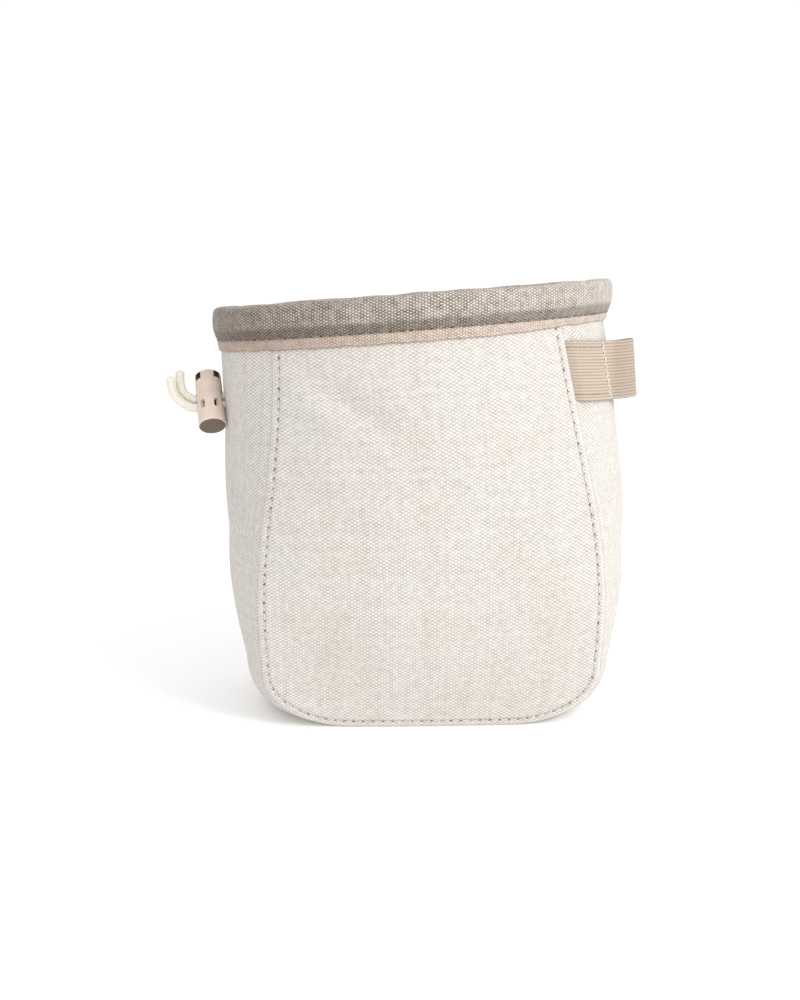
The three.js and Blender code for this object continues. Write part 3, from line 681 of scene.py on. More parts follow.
def cord_material():
    graph = Graph("cord")
    fibre = graph.noise(3000.0, 3.0)
    spots = graph.range(graph.noise(420.0, 1.0), 0.5, 0.72, 0.0, 1.0)
    color = graph.range(fibre, 0.3, 0.7, 0.0, 1.0)
    color = graph.mix(color, srgb(222, 215, 200), srgb(250, 246, 236))
    color = graph.mix(graph.math("MULTIPLY", spots, 0.35), color, srgb(226, 220, 186))
    return graph.finish(color, 0.85, [(fibre, 0.00014)], 0.4)


def plastic_material(name, light, dark):
    graph = Graph(name)
    cloud = graph.noise(260.0, 3.0)
    grain = graph.noise(3200.0, 2.0)
    color = graph.mix(graph.range(cloud, 0.3, 0.75, 0.0, 1.0), dark, light)
    rough = graph.range(grain, 0.3, 0.7, 0.42, 0.58, "LINEAR")
    return graph.finish(color, rough, [(grain, 0.00002)], specular=0.45)


webbing = webbing_material()
cord = cord_material()
plastic = plastic_material("lock_plastic", srgb(236, 219, 206), srgb(226, 208, 194))
# The lock's end face is painted darker: painted shade where it faces down, away from the light
end_painted_shade = plastic_material("lock_end_painted_shade", srgb(112, 97, 84), srgb(102, 88, 75))
# The bore and the pockets are painted dark: painted shade inside the lock
bore_painted_shade = plastic_material("lock_bore_painted_shade", srgb(74, 58, 46), srgb(62, 48, 38))

# The camera stands where the photograph's stood
CAMERA_PLACE = Vector((-25.08, -437.4, 148.6)) * MM
CAMERA_PITCH = math.radians(80.36)
CAMERA_TURN = math.radians(-2)
camera = bpy.data.objects.new("camera", bpy.data.cameras.new("camera"))
camera.data.lens = 44.1
camera.data.sensor_width = 36
camera.location = CAMERA_PLACE
camera.rotation_euler = (CAMERA_PITCH, 0, CAMERA_TURN)
bpy.context.scene.collection.objects.link(camera)
bpy.context.scene.camera = camera

# The lock's own frame: its axis Z runs to the button's end, and the cord runs along its X
LOCK_PLACE = (
    Matrix.Translation(LOCK_CENTRE) @ Matrix.Rotation(-LOCK_LEAN, 4, "X")
    @ Matrix.Rotation(math.asin(LOCK_SLOPE), 4, "Y")
)

# The two strands of the closing cord, from the lock's centre
UPPER_STRAND = [
    (12.7, 1.1, 1.3), (11.0, 1.1, 1.3), (9.2, 1.1, 1.3), (7.2, 1.1, 1.3),
    (5.0, 1.1, 1.3), (2.7, 1.1, 1.3), (0.4, 1.1, 1.3), (-1.8, 1.1, 1.3),
    (-3.9, 1.1, 1.3), (-5.7, 1.1, 1.5), (-7.4, 1.1, 2.3), (-8.8, 1.1, 3.5),
    (-9.8, 1.1, 5.1), (-10.2, 1.1, 6.9), (-10.3, 1.0, 9.3), (-10.1, 0.8, 11.8),
]
LOWER_STRAND = [
    (13.7, -1.1, -1.3), (12.3, -1.1, -1.3), (10.9, -1.1, -1.3), (9.1, -1.1, -1.3),
    (7.1, -1.1, -1.3), (4.8, -1.1, -1.3), (2.5, -1.1, -1.3), (0.2, -1.1, -1.3),
    (-2.0, -1.1, -1.3), (-4.1, -1.1, -1.3), (-6.1, -1.1, -1.1), (-8.0, -1.1, -0.4),
    (-9.7, -1.1, 0.7), (-11.2, -1.1, 2.1), (-12.3, -1.1, 3.9), (-12.9, -1.1, 5.9),
    (-13.2, -1.2, 8.0), (-13.1, -1.3, 9.9),
]
CORD_STEP = 0.22
CORD_SIDES = 48
BRAID_STRANDS = 8
BRAID_LAY = 2.6


def spline(points, step):
    """Points at even steps on a smooth curve through the given ones."""
    before = 2 * points[0] - points[1]
    after = 2 * points[-1] - points[-2]
    padded = np.vstack([before, points, after])
    fine = []
    for k in range(1, len(padded) - 2):
        a, b, c, d = padded[k - 1:k + 3]
        for s in np.linspace(0, 1, 24, endpoint=False):
            fine.append(0.5 * (2 * b + (c - a) * s + (2 * a - 5 * b + 4 * c - d) * s**2
                               + (3 * b - a - 3 * c + d) * s**3))
    fine = np.array(fine + [padded[-2]])
    length = run_along(fine)
    count = int(round(length[-1] / step)) + 1
    at = np.linspace(0, length[-1], count)
    return np.stack([np.interp(at, length, fine[:, i]) for i in range(3)], -1), at


def braided_cord(name, route):
    axis = LOCK_PLACE.to_3x3() @ Vector((1, 0, 0))
    route = np.array(route)
    run = np.maximum(route[:, :1], -BARREL_DIAMETER / 2) / axis.x
    route = route + run * np.array([0, axis.y, axis.z]) + LOCK_CENTRE
    line, at = spline(route, CORD_STEP)
    tangent = unit(np.gradient(line, axis=0))
    side = unit(np.cross(tangent, [0.0, 1.0, 0.0]))
    other = np.cross(tangent, side)
    angle = np.linspace(0, 2 * math.pi, CORD_SIDES, endpoint=False)
    lay = at[:, None] / BRAID_LAY
    first = BRAID_STRANDS * angle[None] / (2 * math.pi) + lay
    second = BRAID_STRANDS * angle[None] / (2 * math.pi) - lay
    braid = np.abs(np.sin(math.pi * first)) ** 0.6 * np.abs(np.sin(math.pi * second)) ** 0.6
    radius = CORD_DIAMETER / 2 * (0.86 + 0.14 * braid)
    # The cut end is drawn in a little and fused
    from_end = at[-1] - at
    close = np.sqrt(np.clip(1 - (1 - np.clip(from_end / 1.3, 0, 1)) ** 2, 0, 1))
    radius = radius * np.maximum(close, 0.02)[:, None]
    points = (line[:, None] + radius[..., None]
              * (np.cos(angle)[None, :, None] * side[:, None]
                 + np.sin(angle)[None, :, None] * other[:, None]))
    sheets = Sheets()
    index = sheets.vertices(points)
    index = np.concatenate([index, index[:, :1]], 1)
    weave = np.stack(np.meshgrid(np.linspace(0, 1, CORD_SIDES + 1), at), -1)
    sheets.faces(index, weave)
    middle = sheets.vertices(line[:1])
    cap = np.stack([index[0], np.full(CORD_SIDES + 1, middle[0])])
    sheets.faces(cap, np.zeros(cap.shape + (2,)), turned=True)
    piece = outward(sheets.piece(name, cord, "cord", placed=False))
    return piece


for strand, route in (("upper", UPPER_STRAND), ("lower", LOWER_STRAND)):
    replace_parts(braided_cord("closing_cord_" + strand, route), "draw_cord_" + strand)

# The front and back panels
PANEL_WARP, PANEL_WEFT = 0.98, 0.6
ROWS = np.concatenate([
    np.arange(0, 6, 0.4), np.arange(6, CORNER_HEIGHT, 0.7),
    np.linspace(CORNER_HEIGHT, SHOULDER, 104), np.linspace(SHOULDER, WALL_TOP, 5)[1:],
])
EDGE_RELIEF = (
    (0.0, 0.0), (0.5, 0.26), (1.0, 0.42), (1.5, 0.40), (2.25, 0.02),
    (3.1, 0.30), (4.6, 0.22), (8.0, 0.0),
)


def edge_relief(distance):
    """The turned edge stands up, and the seam draws the cloth in beside it."""
    knots = np.array(EDGE_RELIEF)
    k = np.clip(np.searchsorted(knots[:, 0], distance) - 1, 0, len(knots) - 2)
    share = np.clip((distance - knots[k, 0]) / (knots[k + 1, 0] - knots[k, 0]), 0, 1)
    return lerp(knots[k, 1], knots[k + 1, 1], (1 - np.cos(math.pi * share)) / 2)


def outline_map(x, z):
    """Each point's place along the panel's outline and its distance from it, in millimetres."""
    t = np.concatenate([
        np.linspace(0, 1, 120)[:-1], np.linspace(1, 2, 180)[:-1], np.linspace(2, 4, 520),
    ])
    line_x, line_z = panel_outline(t)
    line = np.stack([line_x, line_z], -1)
    length = run_along(line)
    tangent = np.gradient(line, axis=0)
    tangent /= np.linalg.norm(tangent, axis=1, keepdims=True)
    points = np.stack([np.abs(x).ravel(), z.ravel()], -1)
    along = np.empty(len(points))
    distance = np.empty(len(points))
    for start in range(0, len(points), 2000):
        part = points[start:start + 2000]
        offsets = part[:, None] - line[None]
        near = np.argmin((offsets**2).sum(-1), 1)
        offset = offsets[np.arange(len(part)), near]
        step = (offset * tangent[near]).sum(-1)
        along[start:start + 2000] = length[near] + step
        across = offset - step[:, None] * tangent[near]
        distance[start:start + 2000] = np.linalg.norm(across, axis=1)
    return along.reshape(x.shape) * np.where(x < 0, -1, 1), distance.reshape(x.shape)


def row_step(z):
    """The outline's step at a height, also round the corner."""
    inside = np.clip(1 - z / CORNER_HEIGHT, -1, 1)
    return np.where(z < CORNER_HEIGHT, 1 + np.arccos(inside) / (math.pi / 2), step_at(z))


def column_shares(half):
    """Columns that lie closer together near the two edges."""
    edge = np.array([0, 0.25, 0.5, 0.8, 1.15, 1.5, 1.85, 2.2, 2.55, 2.9, 3.4, 4.0, 4.8, 5.8])
    middle = np.linspace(7.0, half, 46)
    right = 1 - np.concatenate([edge, middle])[::-1] / half
    return np.concatenate([-right[:0:-1], right])


def panel_piece(name, dents, facing, seed):
    steps = row_step(ROWS)
    steps[0] = 1.0
    shares = column_shares(PANEL_WIDTH / 2)
    seam = seam_at(steps)
    half, height = panel_outline(steps, GAP / 2)
    back_half, back_height = panel_outline(steps, seam["draw"])
    x = shares[None] * half[:, None]
    z = np.repeat(height[:, None], len(shares), 1)
    along, distance = outline_map(x, z)
    normal = panel_normal(x, z, dents)
    crease = waves(seed, 9, 0.004, 0.022)
    ripple = 0.22 * crease(x * 0.8 + z * 0.6) * crease(z * 0.9 - x * 0.3 + 31)
    ripple = ripple * smooth(distance, 2, 10)
    beside = np.exp(-((distance - 3.2) / 1.6) ** 2)
    pucker = 0.07 * np.cos(2 * math.pi * along / PANEL_PITCH) * beside
    under = 1 - 0.75 * smooth(z, SHOULDER - 1.2, SHOULDER + 0.8)
    lift = (edge_relief(distance) + pucker) * under + ripple * under
    outer = panel_point(x, z, dents) + normal * lift[..., None]
    inner = panel_point(shares[None] * back_half[:, None], back_height[:, None], dents)
    inner_normal = panel_normal(shares[None] * back_half[:, None], back_height[:, None], dents)
    inner = inner - inner_normal * (WALL * 0.8 - np.minimum(lift, 0))[..., None]
    base = seam_at(np.abs(shares))
    sides = np.where(shares < 0, -1, 1)[:, None] * np.array([[1, 0, 0]]) + np.array([[0, 1, 1]])
    outer[0] = base["panel_face"] * sides
    inner[0] = base["panel_back"] * sides
    for column, side in ((0, -1), (-1, 1)):
        outer[:, column] = seam["panel_face"] * np.array([side, 1, 1])
        inner[:, column] = seam["panel_back"] * np.array([side, 1, 1])
    outer[..., 1] *= facing
    inner[..., 1] *= facing
    weave = np.stack([x / PANEL_WARP, z / PANEL_WEFT], -1)
    places = np.stack([along, distance], -1)
    return shell(name, outer, inner, weave, places, canvas, "canvas")


def add_stitches(sheets, points, normals, step, centres, length, radius, sink, rise):
    """Stitches of thread along a line of points: each dives into a hole at both ends."""
    spots = np.array([-0.5, -0.44, -0.3, -0.12, 0.12, 0.3, 0.44, 0.5])
    levels = np.array([-sink, -0.1, 0.75, 1.0, 1.0, 0.75, -0.1, -sink])
    angle = np.linspace(0, 2 * math.pi, 7)
    at = centres[:, None] + spots[None] * length
    place = np.stack([np.interp(at, step, points[:, i]) for i in range(3)], -1)
    up = unit(np.stack([np.interp(at, step, normals[:, i]) for i in range(3)], -1))
    place = place + up * (rise * levels)[None, :, None]
    along = unit(np.gradient(place, axis=1))
    side = unit(np.cross(along, up))
    over = np.cross(side, along)
    for k in range(len(centres)):
        tube = (place[k][:, None]
                + radius * (np.cos(angle)[None, :, None] * side[k][:, None]
                            + np.sin(angle)[None, :, None] * over[k][:, None]))
        index = sheets.vertices(tube[:, :-1])
        index = np.concatenate([index, index[:, :1]], 1)
        sheets.faces(index, np.zeros(index.shape + (2,)))


def stitch_row(sheets, line, normals, first, spare, pitch, **thread):
    """A row of stitches, from the first one's centre to spare before the line's end."""
    step = run_along(line)
    centres = np.arange(first, step[-1] - spare, pitch)
    add_stitches(sheets, line, normals, step, centres, **thread)


# Each thread's stitch length, its radius, and how deep and how high it runs
PANEL_THREAD = {"length": PANEL_PITCH - 0.8, "radius": 0.17, "sink": 0.8, "rise": 0.16}
RIM_THREAD = {"length": RIM_PITCH - 1.0, "radius": 0.22, "sink": 0.8, "rise": 0.2}
BRUSH_EDGE_THREAD = {"length": 1.9, "radius": 0.2, "sink": 0.6, "rise": 0.24}
BRUSH_CROSS_THREAD = {"length": 1.9, "radius": 0.26, "sink": 0.5, "rise": 0.28}
BELT_THREAD = {"length": 2.4, "radius": 0.25, "sink": 0.5, "rise": 0.28}


def panel_seam(name, dents, facing):
    """Thread along the panel's edge, each stitch between two holes."""
    t = np.concatenate([
        np.linspace(0, 1, 60)[:-1], np.linspace(1, 2, 90)[:-1], np.linspace(2, 2.985, 240),
    ])
    x, z = panel_outline(t, PANEL_STITCH_IN)
    length = run_along(np.stack(panel_outline(t), -1))
    sheets = Sheets()
    for side in (-1, 1):
        points = panel_point(side * x, z, dents)
        normals = panel_normal(side * x, z, dents)
        points = points + normals * 0.08
        points[..., 1] *= facing
        normals[..., 1] *= facing
        centres = np.arange(PANEL_PITCH / 2, length[-1] - 1, PANEL_PITCH)
        add_stitches(sheets, points, normals, length, centres, **PANEL_THREAD)
    return outward(sheets.piece(name, canvas_thread, "canvas"))


for name, dents, facing, seed in (
    ("front_panel_cloth", FRONT_DENTS, 1, 3), ("back_panel_cloth", BACK_DENTS, -1, 8),
):
    piece = panel_piece(name, dents, facing, seed)
    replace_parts(piece, "front_panel" if facing > 0 else "back_panel")
    panel_seam(name.replace("cloth", "stitches"), dents, facing)


# The gusset: one strip up both sides and across the base
def gusset_piece():
    right = np.concatenate([
        np.linspace(0, 1, 34)[1:-1], np.linspace(1, 2, 38)[:-1],
        2 + np.linspace(0, 1, 98)[:-1], np.linspace(3, 4, 5),
    ])
    t = np.concatenate([-right[::-1], [0.0], right])
    here = np.abs(t)
    seam = seam_at(here)
    near = gusset_point(here, -1.0) - gusset_point(here, TINY - 1)
    across = np.linalg.norm(near, axis=-1) / TINY
    edge = 1 - seam["draw"] / across
    shares = np.sin(np.linspace(-1, 1, 81) * math.pi / 2 * 0.93) / math.sin(math.pi / 2 * 0.93)
    v = edge[:, None] * shares[None]
    point = gusset_point(here[:, None], v)
    normal = gusset_normal(np.maximum(here, TINY)[:, None], v)
    up = point[..., 2]
    depth = point[..., 1]
    lift = np.zeros(v.shape)
    for side, middle, height, turn, long, wide, deep in GUSSET_DENTS:
        turn = math.radians(turn)
        dy = depth - middle * 45
        dz = up - height
        along = (dy * math.cos(turn) + dz * math.sin(turn)) / long
        over = (dz * math.cos(turn) - dy * math.sin(turn)) / wide
        lift -= deep * np.exp(-(along**2) - over**2) * (np.sign(t) == side)[:, None]
    crease = waves(21, 9, 0.005, 0.024)
    lift += 0.3 * crease(up + 0.5 * depth + 90 * np.sign(t)[:, None]) * crease(depth - 0.4 * up)
    lift *= (1 - np.abs(shares[None]) ** 6) * (here > 1.6)[:, None]
    lift *= 1 - smooth(up, SHOULDER - 14, SHOULDER - 2)
    outer = point + normal * lift[..., None]
    inner = point - normal * (WALL * 0.8 - np.minimum(lift, 0))[..., None]
    for column, share in ((0, 1), (-1, -1)):
        outer[:, column] = seam["gusset_face"] * np.array([1, share, 1])
        inner[:, column] = seam["gusset_back"] * np.array([1, share, 1])
    sides = np.stack([np.where(t < 0, -1, 1), np.ones(len(t)), np.ones(len(t))], -1)
    outer *= sides[:, None]
    inner *= sides[:, None]
    middle = outer[:, outer.shape[1] // 2]
    length = run_along(middle)
    steps = np.linalg.norm(np.diff(outer, axis=1), axis=-1).mean(0)
    width = np.concatenate([[0], np.cumsum(steps)])
    weave = np.broadcast_arrays(width[None] / PANEL_WARP, length[:, None] / PANEL_WEFT)
    weave = np.stack(weave, -1)
    return shell("gusset_cloth", outer, inner, weave, None, canvas_side, "canvas")


def solid_piece(name, points, faces, material, body, matrix=None):
    mesh = bpy.data.meshes.new(name)
    if matrix is not None:
        points = [tuple(matrix @ Vector(p)) for p in points]
    mesh.from_pydata([tuple(c * MM for c in p) for p in points], [], faces)
    mesh.materials.append(material)
    mesh.validate()
    piece = bpy.data.objects.new(name, mesh)
    bpy.context.scene.collection.objects.link(piece)
    if body:
        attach(piece, body)
    return piece


def turned_solid(profile, sides):
    """Points and faces of a lathed body. The profile starts and ends on the axis."""
    points = [(0, 0, profile[0][1])]
    for radius, z in profile[1:-1]:
        for k in range(sides):
            angle = 2 * math.pi * k / sides
            points.append((radius * math.cos(angle), radius * math.sin(angle), z))
    points.append((0, 0, profile[-1][1]))
    faces = []
    rings = len(profile) - 2
    for k in range(sides):
        following = (k + 1) % sides
        faces.append((0, 1 + following, 1 + k))
        for level in range(rings - 1):
            low, high = 1 + level * sides, 1 + (level + 1) * sides
            faces.append((low + k, low + following, high + following, high + k))
        last = 1 + (rings - 1) * sides
        faces.append((last + k, last + following, len(points) - 1))
    return points, faces


def slot_outline(width, low, high, steps):
    """A slot's outline, round at both ends."""
    outline = []
    for middle, start in ((low + width / 2, math.pi), (high - width / 2, 0)):
        for k in range(steps + 1):
            angle = start + math.pi * k / steps
            outline.append((width / 2 * math.cos(angle), middle + width / 2 * math.sin(angle)))
    return outline


def prism_faces(count):
    """The faces of a solid between two equal outlines."""
    faces = [tuple(range(count - 1, -1, -1)), tuple(range(count, 2 * count))]
    for k in range(count):
        following = (k + 1) % count
        faces.append((k, following, count + following, count + k))
    return faces


def slot_solid(width, low, high, reach, centre=0.0):
    """A round-ended cutter along X, between two heights."""
    outline = slot_outline(width, low, high, 10)
    points = [(centre + x, y, z) for x in (-reach, reach) for y, z in outline]
    return points, prism_faces(len(outline))


def front_slot_solid(x, width, low, high, radius):
    """A round-ended window that opens to the front, cut into the barrel's wall."""
    outline = slot_outline(width, low, high, 8)
    points = [(x + dx, y, z) for y in (-radius - 1, -radius * 0.55) for dx, z in outline]
    return points, prism_faces(len(outline))


def box_solid(low, high):
    spans = list(zip(low, high))
    points = [(x, y, z) for x in spans[0] for y in spans[1] for z in spans[2]]
    faces = [(0, 1, 3, 2), (4, 6, 7, 5), (0, 4, 5, 1), (2, 3, 7, 6), (0, 2, 6, 4), (1, 5, 7, 3)]
    return points, faces


def cut(piece, cutters, matrix, bevel=0.0):
    """Cuts the solids out of the piece, rounds its sharp edges and keeps the result as its mesh."""
    made = []
    for points, faces in cutters:
        tool = solid_piece("cutter", points, faces, plastic, None, matrix)
        make_outward(tool)
        change = piece.modifiers.new("cut", "BOOLEAN")
        change.operation = "DIFFERENCE"
        change.solver = "EXACT"
        change.object = tool
        made.append(tool)
    if bevel:
        edges = piece.modifiers.new("edges", "BEVEL")
        edges.width = bevel * MM
        edges.segments = 2
        edges.limit_method = "ANGLE"
        edges.angle_limit = math.radians(38)
    graph = bpy.context.evaluated_depsgraph_get()
    mesh = bpy.data.meshes.new_from_object(piece.evaluated_get(graph))
    piece.modifiers.clear()
    old = piece.data
    piece.data = mesh
    bpy.data.meshes.remove(old)
    for tool in made:
        bpy.data.objects.remove(tool)


def make_outward(piece):
    work = bmesh.new()
    work.from_mesh(piece.data)
    bmesh.ops.recalc_face_normals(work, faces=work.faces)
    work.to_mesh(piece.data)
    work.free()


STRAND_STEP = CORD_DIAMETER / 2 + GAP / 2
CORD_HOLE_WIDTH = CORD_DIAMETER + 2 * CORD_EASE
CORD_HOLE_LENGTH = 4 * STRAND_STEP + 2 * CORD_EASE

gusset = gusset_piece()
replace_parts(gusset, "side_gusset")
reach = CORD_HOLE_LENGTH / 2 + CORD_EASE
width = CORD_HOLE_WIDTH + CORD_EASE
cut(gusset, [slot_solid(width, -reach, reach, BARREL_DIAMETER, BARREL_DIAMETER)], LOCK_PLACE)

# The rim
RIM_STEPS_PANEL, RIM_STEPS_GUSSET = 150, 126
RIM_WARP, RIM_WEFT = 0.90, 0.48
RIM_LENGTH = 390.0
COLLAR_WARP, COLLAR_WEFT = 0.6, 0.5


def circular_blur(values, width):
    count = len(values)
    turns = np.fft.fftfreq(count)
    weight = np.exp(-2 * (math.pi * turns * width) ** 2)
    return np.real(np.fft.ifft(np.fft.fft(values, axis=0) * weight[:, None], axis=0))


def wall_line(z):
    """The wall's outer line round the bag at a height, with its level normals, made smooth."""
    t = float(step_at(z))
    half = float(panel_half(z))
    x = half * (2 * np.arange(RIM_STEPS_PANEL) / RIM_STEPS_PANEL - 1)
    v = 2 * np.arange(RIM_STEPS_GUSSET) / RIM_STEPS_GUSSET - 1
    front = panel_point(x, z)[..., :2]
    side = gusset_point(t, v)[..., :2]
    line = np.concatenate([front, side])
    line = np.concatenate([line, -line])
    line = circular_blur(line, 3.0)
    tangent = np.roll(line, -1, 0) - np.roll(line, 1, 0)
    normal = circular_blur(np.stack([tangent[:, 1], -tangent[:, 0]], -1), 3.0)
    return line, unit(normal)


def ring_from(profile, wobble=None):
    """Rings of points from a profile of (out, z). wobble moves each point by (out, up)."""
    lines = {}
    rings = []
    for out, z in profile:
        key = round(float(min(max(z, 60), SHOULDER)), 3)
        if key not in lines:
            lines[key] = wall_line(key)
        line, normal = lines[key]
        extra = np.zeros((len(line), 2)) if wobble is None else wobble(out, z)
        place = line + normal * (out + extra[:, :1])
        rings.append(np.concatenate([place, np.full((len(line), 1), z) + extra[:, 1:]], 1))
    return np.stack(rings, 1)


def round_profile(knots, step):
    """A closed profile from knots of (out, z, rounding), as even points with soft corners."""
    knots = [tuple(k) + (0.0,) * (3 - len(k)) for k in knots]
    dense = []
    count = len(knots)
    for k in range(count):
        here = np.array(knots[k][:2])
        before = np.array(knots[k - 1][:2])
        after = np.array(knots[(k + 1) % count][:2])
        radius = knots[k][2]
        if radius == 0:
            dense.append(here)
            continue
        first = here + unit(before - here) * min(radius, np.linalg.norm(before - here) * 0.48)
        last = here + unit(after - here) * min(radius, np.linalg.norm(after - here) * 0.48)
        for s in np.linspace(0, 1, 5):
            dense.append((1 - s) ** 2 * first + 2 * s * (1 - s) * here + s**2 * last)
    dense = np.array(dense)
    closed = np.vstack([dense, dense[:1]])
    points = []
    for a, b in zip(closed[:-1], closed[1:]):
        steps = max(1, int(math.ceil(np.linalg.norm(b - a) / step)))
        for s in range(steps):
            points.append(lerp(a, b, s / steps))
    return np.array(points)


def ring_maps(rings, profile, warp, weft, pitch, origin):
    """The weave and seam maps of a ring: the seam runs through the profile's point origin."""
    line = rings[:, np.argmax(rings[0, :, 2])]
    length = run_along(np.vstack([line, line[:1]]))
    share = length / length[-1]
    threads = 2 * round(length[-1] / warp / 2)
    run = run_along(np.vstack([profile, profile[:1]]))
    stitched = share * round(length[-1] / pitch) * pitch
    weave = np.stack(np.meshgrid(share * threads, run / weft, indexing="ij"), -1)
    seam = np.stack(np.meshgrid(stitched, run - run[origin], indexing="ij"), -1)
    return weave, seam, run


def ring_waves(rng, turn, low, high, count):
    """Seeded waves that close round a ring. turn is each point's share of the way round."""
    turns = rng.integers(low, high, count)
    phases = rng.uniform(0, 2 * math.pi, count)
    return np.sin(2 * math.pi * turn[:, None] * turns + phases).sum(1) / 3


SLOT_INNER = -(WALL + GAP + COLLAR_CLOTH)
BEVEL_TOP = BAG_HEIGHT - RIM_CORE_HEIGHT
STITCH = BEVEL_TOP - RIM_BEVEL
FLANGE = GAP + BINDING_CLOTH


def rim_piece():
    inner_flange = SLOT_INNER - GAP - BINDING_CLOTH
    inner_face = inner_flange - (RIM_STAND_OUT - FLANGE)
    capped = BAG_HEIGHT - RIM_CAP_HEIGHT + GAP
    top = BAG_HEIGHT
    knots = [
        (0.12, SHOULDER + 0.1, 0.2),
        (FLANGE - 0.75, SHOULDER - 0.1, 0.3),
        (FLANGE - 0.1, STITCH - 1.0, 0.8),
        (FLANGE - 0.42, STITCH, 0.5),
        (FLANGE + 0.3, STITCH + 0.8, 0.6),
        (RIM_STAND_OUT, BEVEL_TOP, 1.6),
        (RIM_STAND_OUT + 0.15, (BEVEL_TOP + top) / 2, 2.0),
        (RIM_STAND_OUT - 0.4, top, 1.5),
        ((RIM_STAND_OUT + inner_face) / 2, top + 0.1, 3.0),
        (inner_face + 0.1, top, 1.5),
        (inner_face, BEVEL_TOP, 1.6),
        (inner_flange - 0.3, STITCH + 0.8, 0.6),
        (inner_flange + 0.42, STITCH, 0.5),
        (inner_flange - 0.05, STITCH - 0.9, 0.7),
        (inner_flange + 0.05, SHOULDER - 0.2, 0.45),
        (SLOT_INNER - GAP, SHOULDER - 0.1, 0.3),
        (SLOT_INNER - GAP, capped),
        (GAP, capped),
    ]
    profile = round_profile(knots, 0.5)
    count = 2 * (RIM_STEPS_PANEL + RIM_STEPS_GUSSET)
    turn = np.arange(count) / count
    seams = np.cumsum([0, RIM_STEPS_PANEL, RIM_STEPS_GUSSET, RIM_STEPS_PANEL])
    spacing = RIM_LENGTH / count
    ridge = np.zeros(count)
    for k, seam in enumerate(seams):
        inwards = 1.3 if k % 2 == 0 else -1.3
        offset = (np.arange(count) - seam + count / 2) % count - count / 2
        ridge += 0.5 * np.exp(-((offset * spacing - inwards) / 1.0) ** 2)
    rng = np.random.default_rng(11)
    top_wave = ring_waves(rng, turn, 5, 26, 9)
    edge_wave = ring_waves(rng, turn, 14, 60, 9)
    pitch_wave = np.cos(2 * math.pi * turn * round(RIM_LENGTH / RIM_PITCH))
    # The flange is narrower on the right
    narrow = 1.2 * smooth(wall_line(SHOULDER)[0][:, 0], 20, 60)

    def wobble(out, z):
        extra = np.zeros((count, 2))
        extra[:, 1] += 0.22 * top_wave * smooth(z, BEVEL_TOP, top)
        extra[:, 0] += 0.10 * edge_wave * (1 - smooth(abs(z - (BEVEL_TOP + top) / 2), 0, 5))
        if out > 0:
            flange = 1 - smooth(z, STITCH - 1.5, STITCH + 0.5)
            extra[:, 0] += ridge * flange
            extra[:, 1] += (0.10 * edge_wave + narrow) * (1 - smooth(z, SHOULDER, STITCH))
            near = np.exp(-((z - STITCH - 1.2) / 1.0) ** 2)
            extra[:, 0] += 0.06 * pitch_wave * near
        return extra

    rings = ring_from(profile, wobble)
    outside, inside = (
        np.argmin(np.abs(profile[:, 1] - STITCH) + 10 * wrong)
        for wrong in (profile[:, 0] < 0, profile[:, 0] > 0)
    )
    weave, seam, run = ring_maps(rings, profile, RIM_WARP, RIM_WEFT, RIM_PITCH, outside)
    far = run > run[outside] + 12
    seam[:, far, 1] = (run[inside] - run)[None, far]
    piece = ring("rim_cloth", rings, weave, seam, rim_cloth, "rim_cloth")
    threads = Sheets()
    step = seam[:, 0, 0]
    centres = np.arange(RIM_PITCH / 2, step[-1], RIM_PITCH)
    for index, side in ((outside, 1), (inside, -1)):
        line = rings[:, index]
        line = np.vstack([line, line[:1]])
        _, normal = wall_line(SHOULDER)
        normal = np.vstack([normal, normal[:1]]) * side
        normal = np.concatenate([normal, np.zeros((len(normal), 1))], 1)
        add_stitches(threads, line + normal * 0.05, normal, step, centres, **RIM_THREAD)
    outward(threads.piece("rim_stitches", rim_thread, "rim_cloth"))
    return piece


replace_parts(rim_piece(), "rim_binding")


# The collar that the closing cord draws shut
def collar_piece():
    face = -(WALL + GAP)
    hem_face = face - COLLAR_EASE
    hem_top = SHOULDER - COLLAR_DROP + HEM_WIDTH
    hem_low = SHOULDER - COLLAR_DROP - HEM_WIDTH / 2
    middle = (hem_top + SHOULDER) / 2
    knots = [
        (face, WALL_TOP - 0.5),
        (face, SHOULDER, 2.0),
        (hem_face, middle, 4.0),
        (hem_face + 0.2, hem_top + 0.4, 0.8),
        (hem_face + 0.1, hem_low + 2.2, 2.0),
        (hem_face - 2.3, hem_low, 2.0),
        (hem_face - HEM_WIDTH, hem_low + 2.8, 2.0),
        (hem_face - COLLAR_CLOTH - 0.1, hem_top + 0.4, 0.8),
        (hem_face - COLLAR_CLOTH, middle, 4.0),
        (face - COLLAR_CLOTH, SHOULDER, 2.0),
        (face - COLLAR_CLOTH, WALL_TOP - 0.5),
    ]
    profile = round_profile(knots, 0.6)
    count = 2 * (RIM_STEPS_PANEL + RIM_STEPS_GUSSET)
    turn = np.arange(count) / count
    gather = ring_waves(np.random.default_rng(17), turn, 34, 66, 7)

    def wobble(out, z):
        extra = np.zeros((count, 2))
        extra[:, 0] += 0.55 * gather * (1 - smooth(z, hem_low + 2, SHOULDER - 1))
        return extra

    rings = ring_from(profile, wobble)
    beside_hem = profile[:, 0] > hem_face - 0.6
    inner = np.argmin(np.abs(profile[:, 1] - hem_top - 0.4) + 10 * beside_hem)
    weave, seam, _ = ring_maps(rings, profile, COLLAR_WARP, COLLAR_WEFT, COLLAR_PITCH, inner)
    return ring("collar_cloth_ring", rings, weave, seam, collar_cloth, "collar_cloth")


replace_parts(collar_piece(), "closure_collar")


# Webbing: a strip with ribs and a rolled edge on both sides
RIB_PITCH = 1.0
RIB_ALONG = 0.7


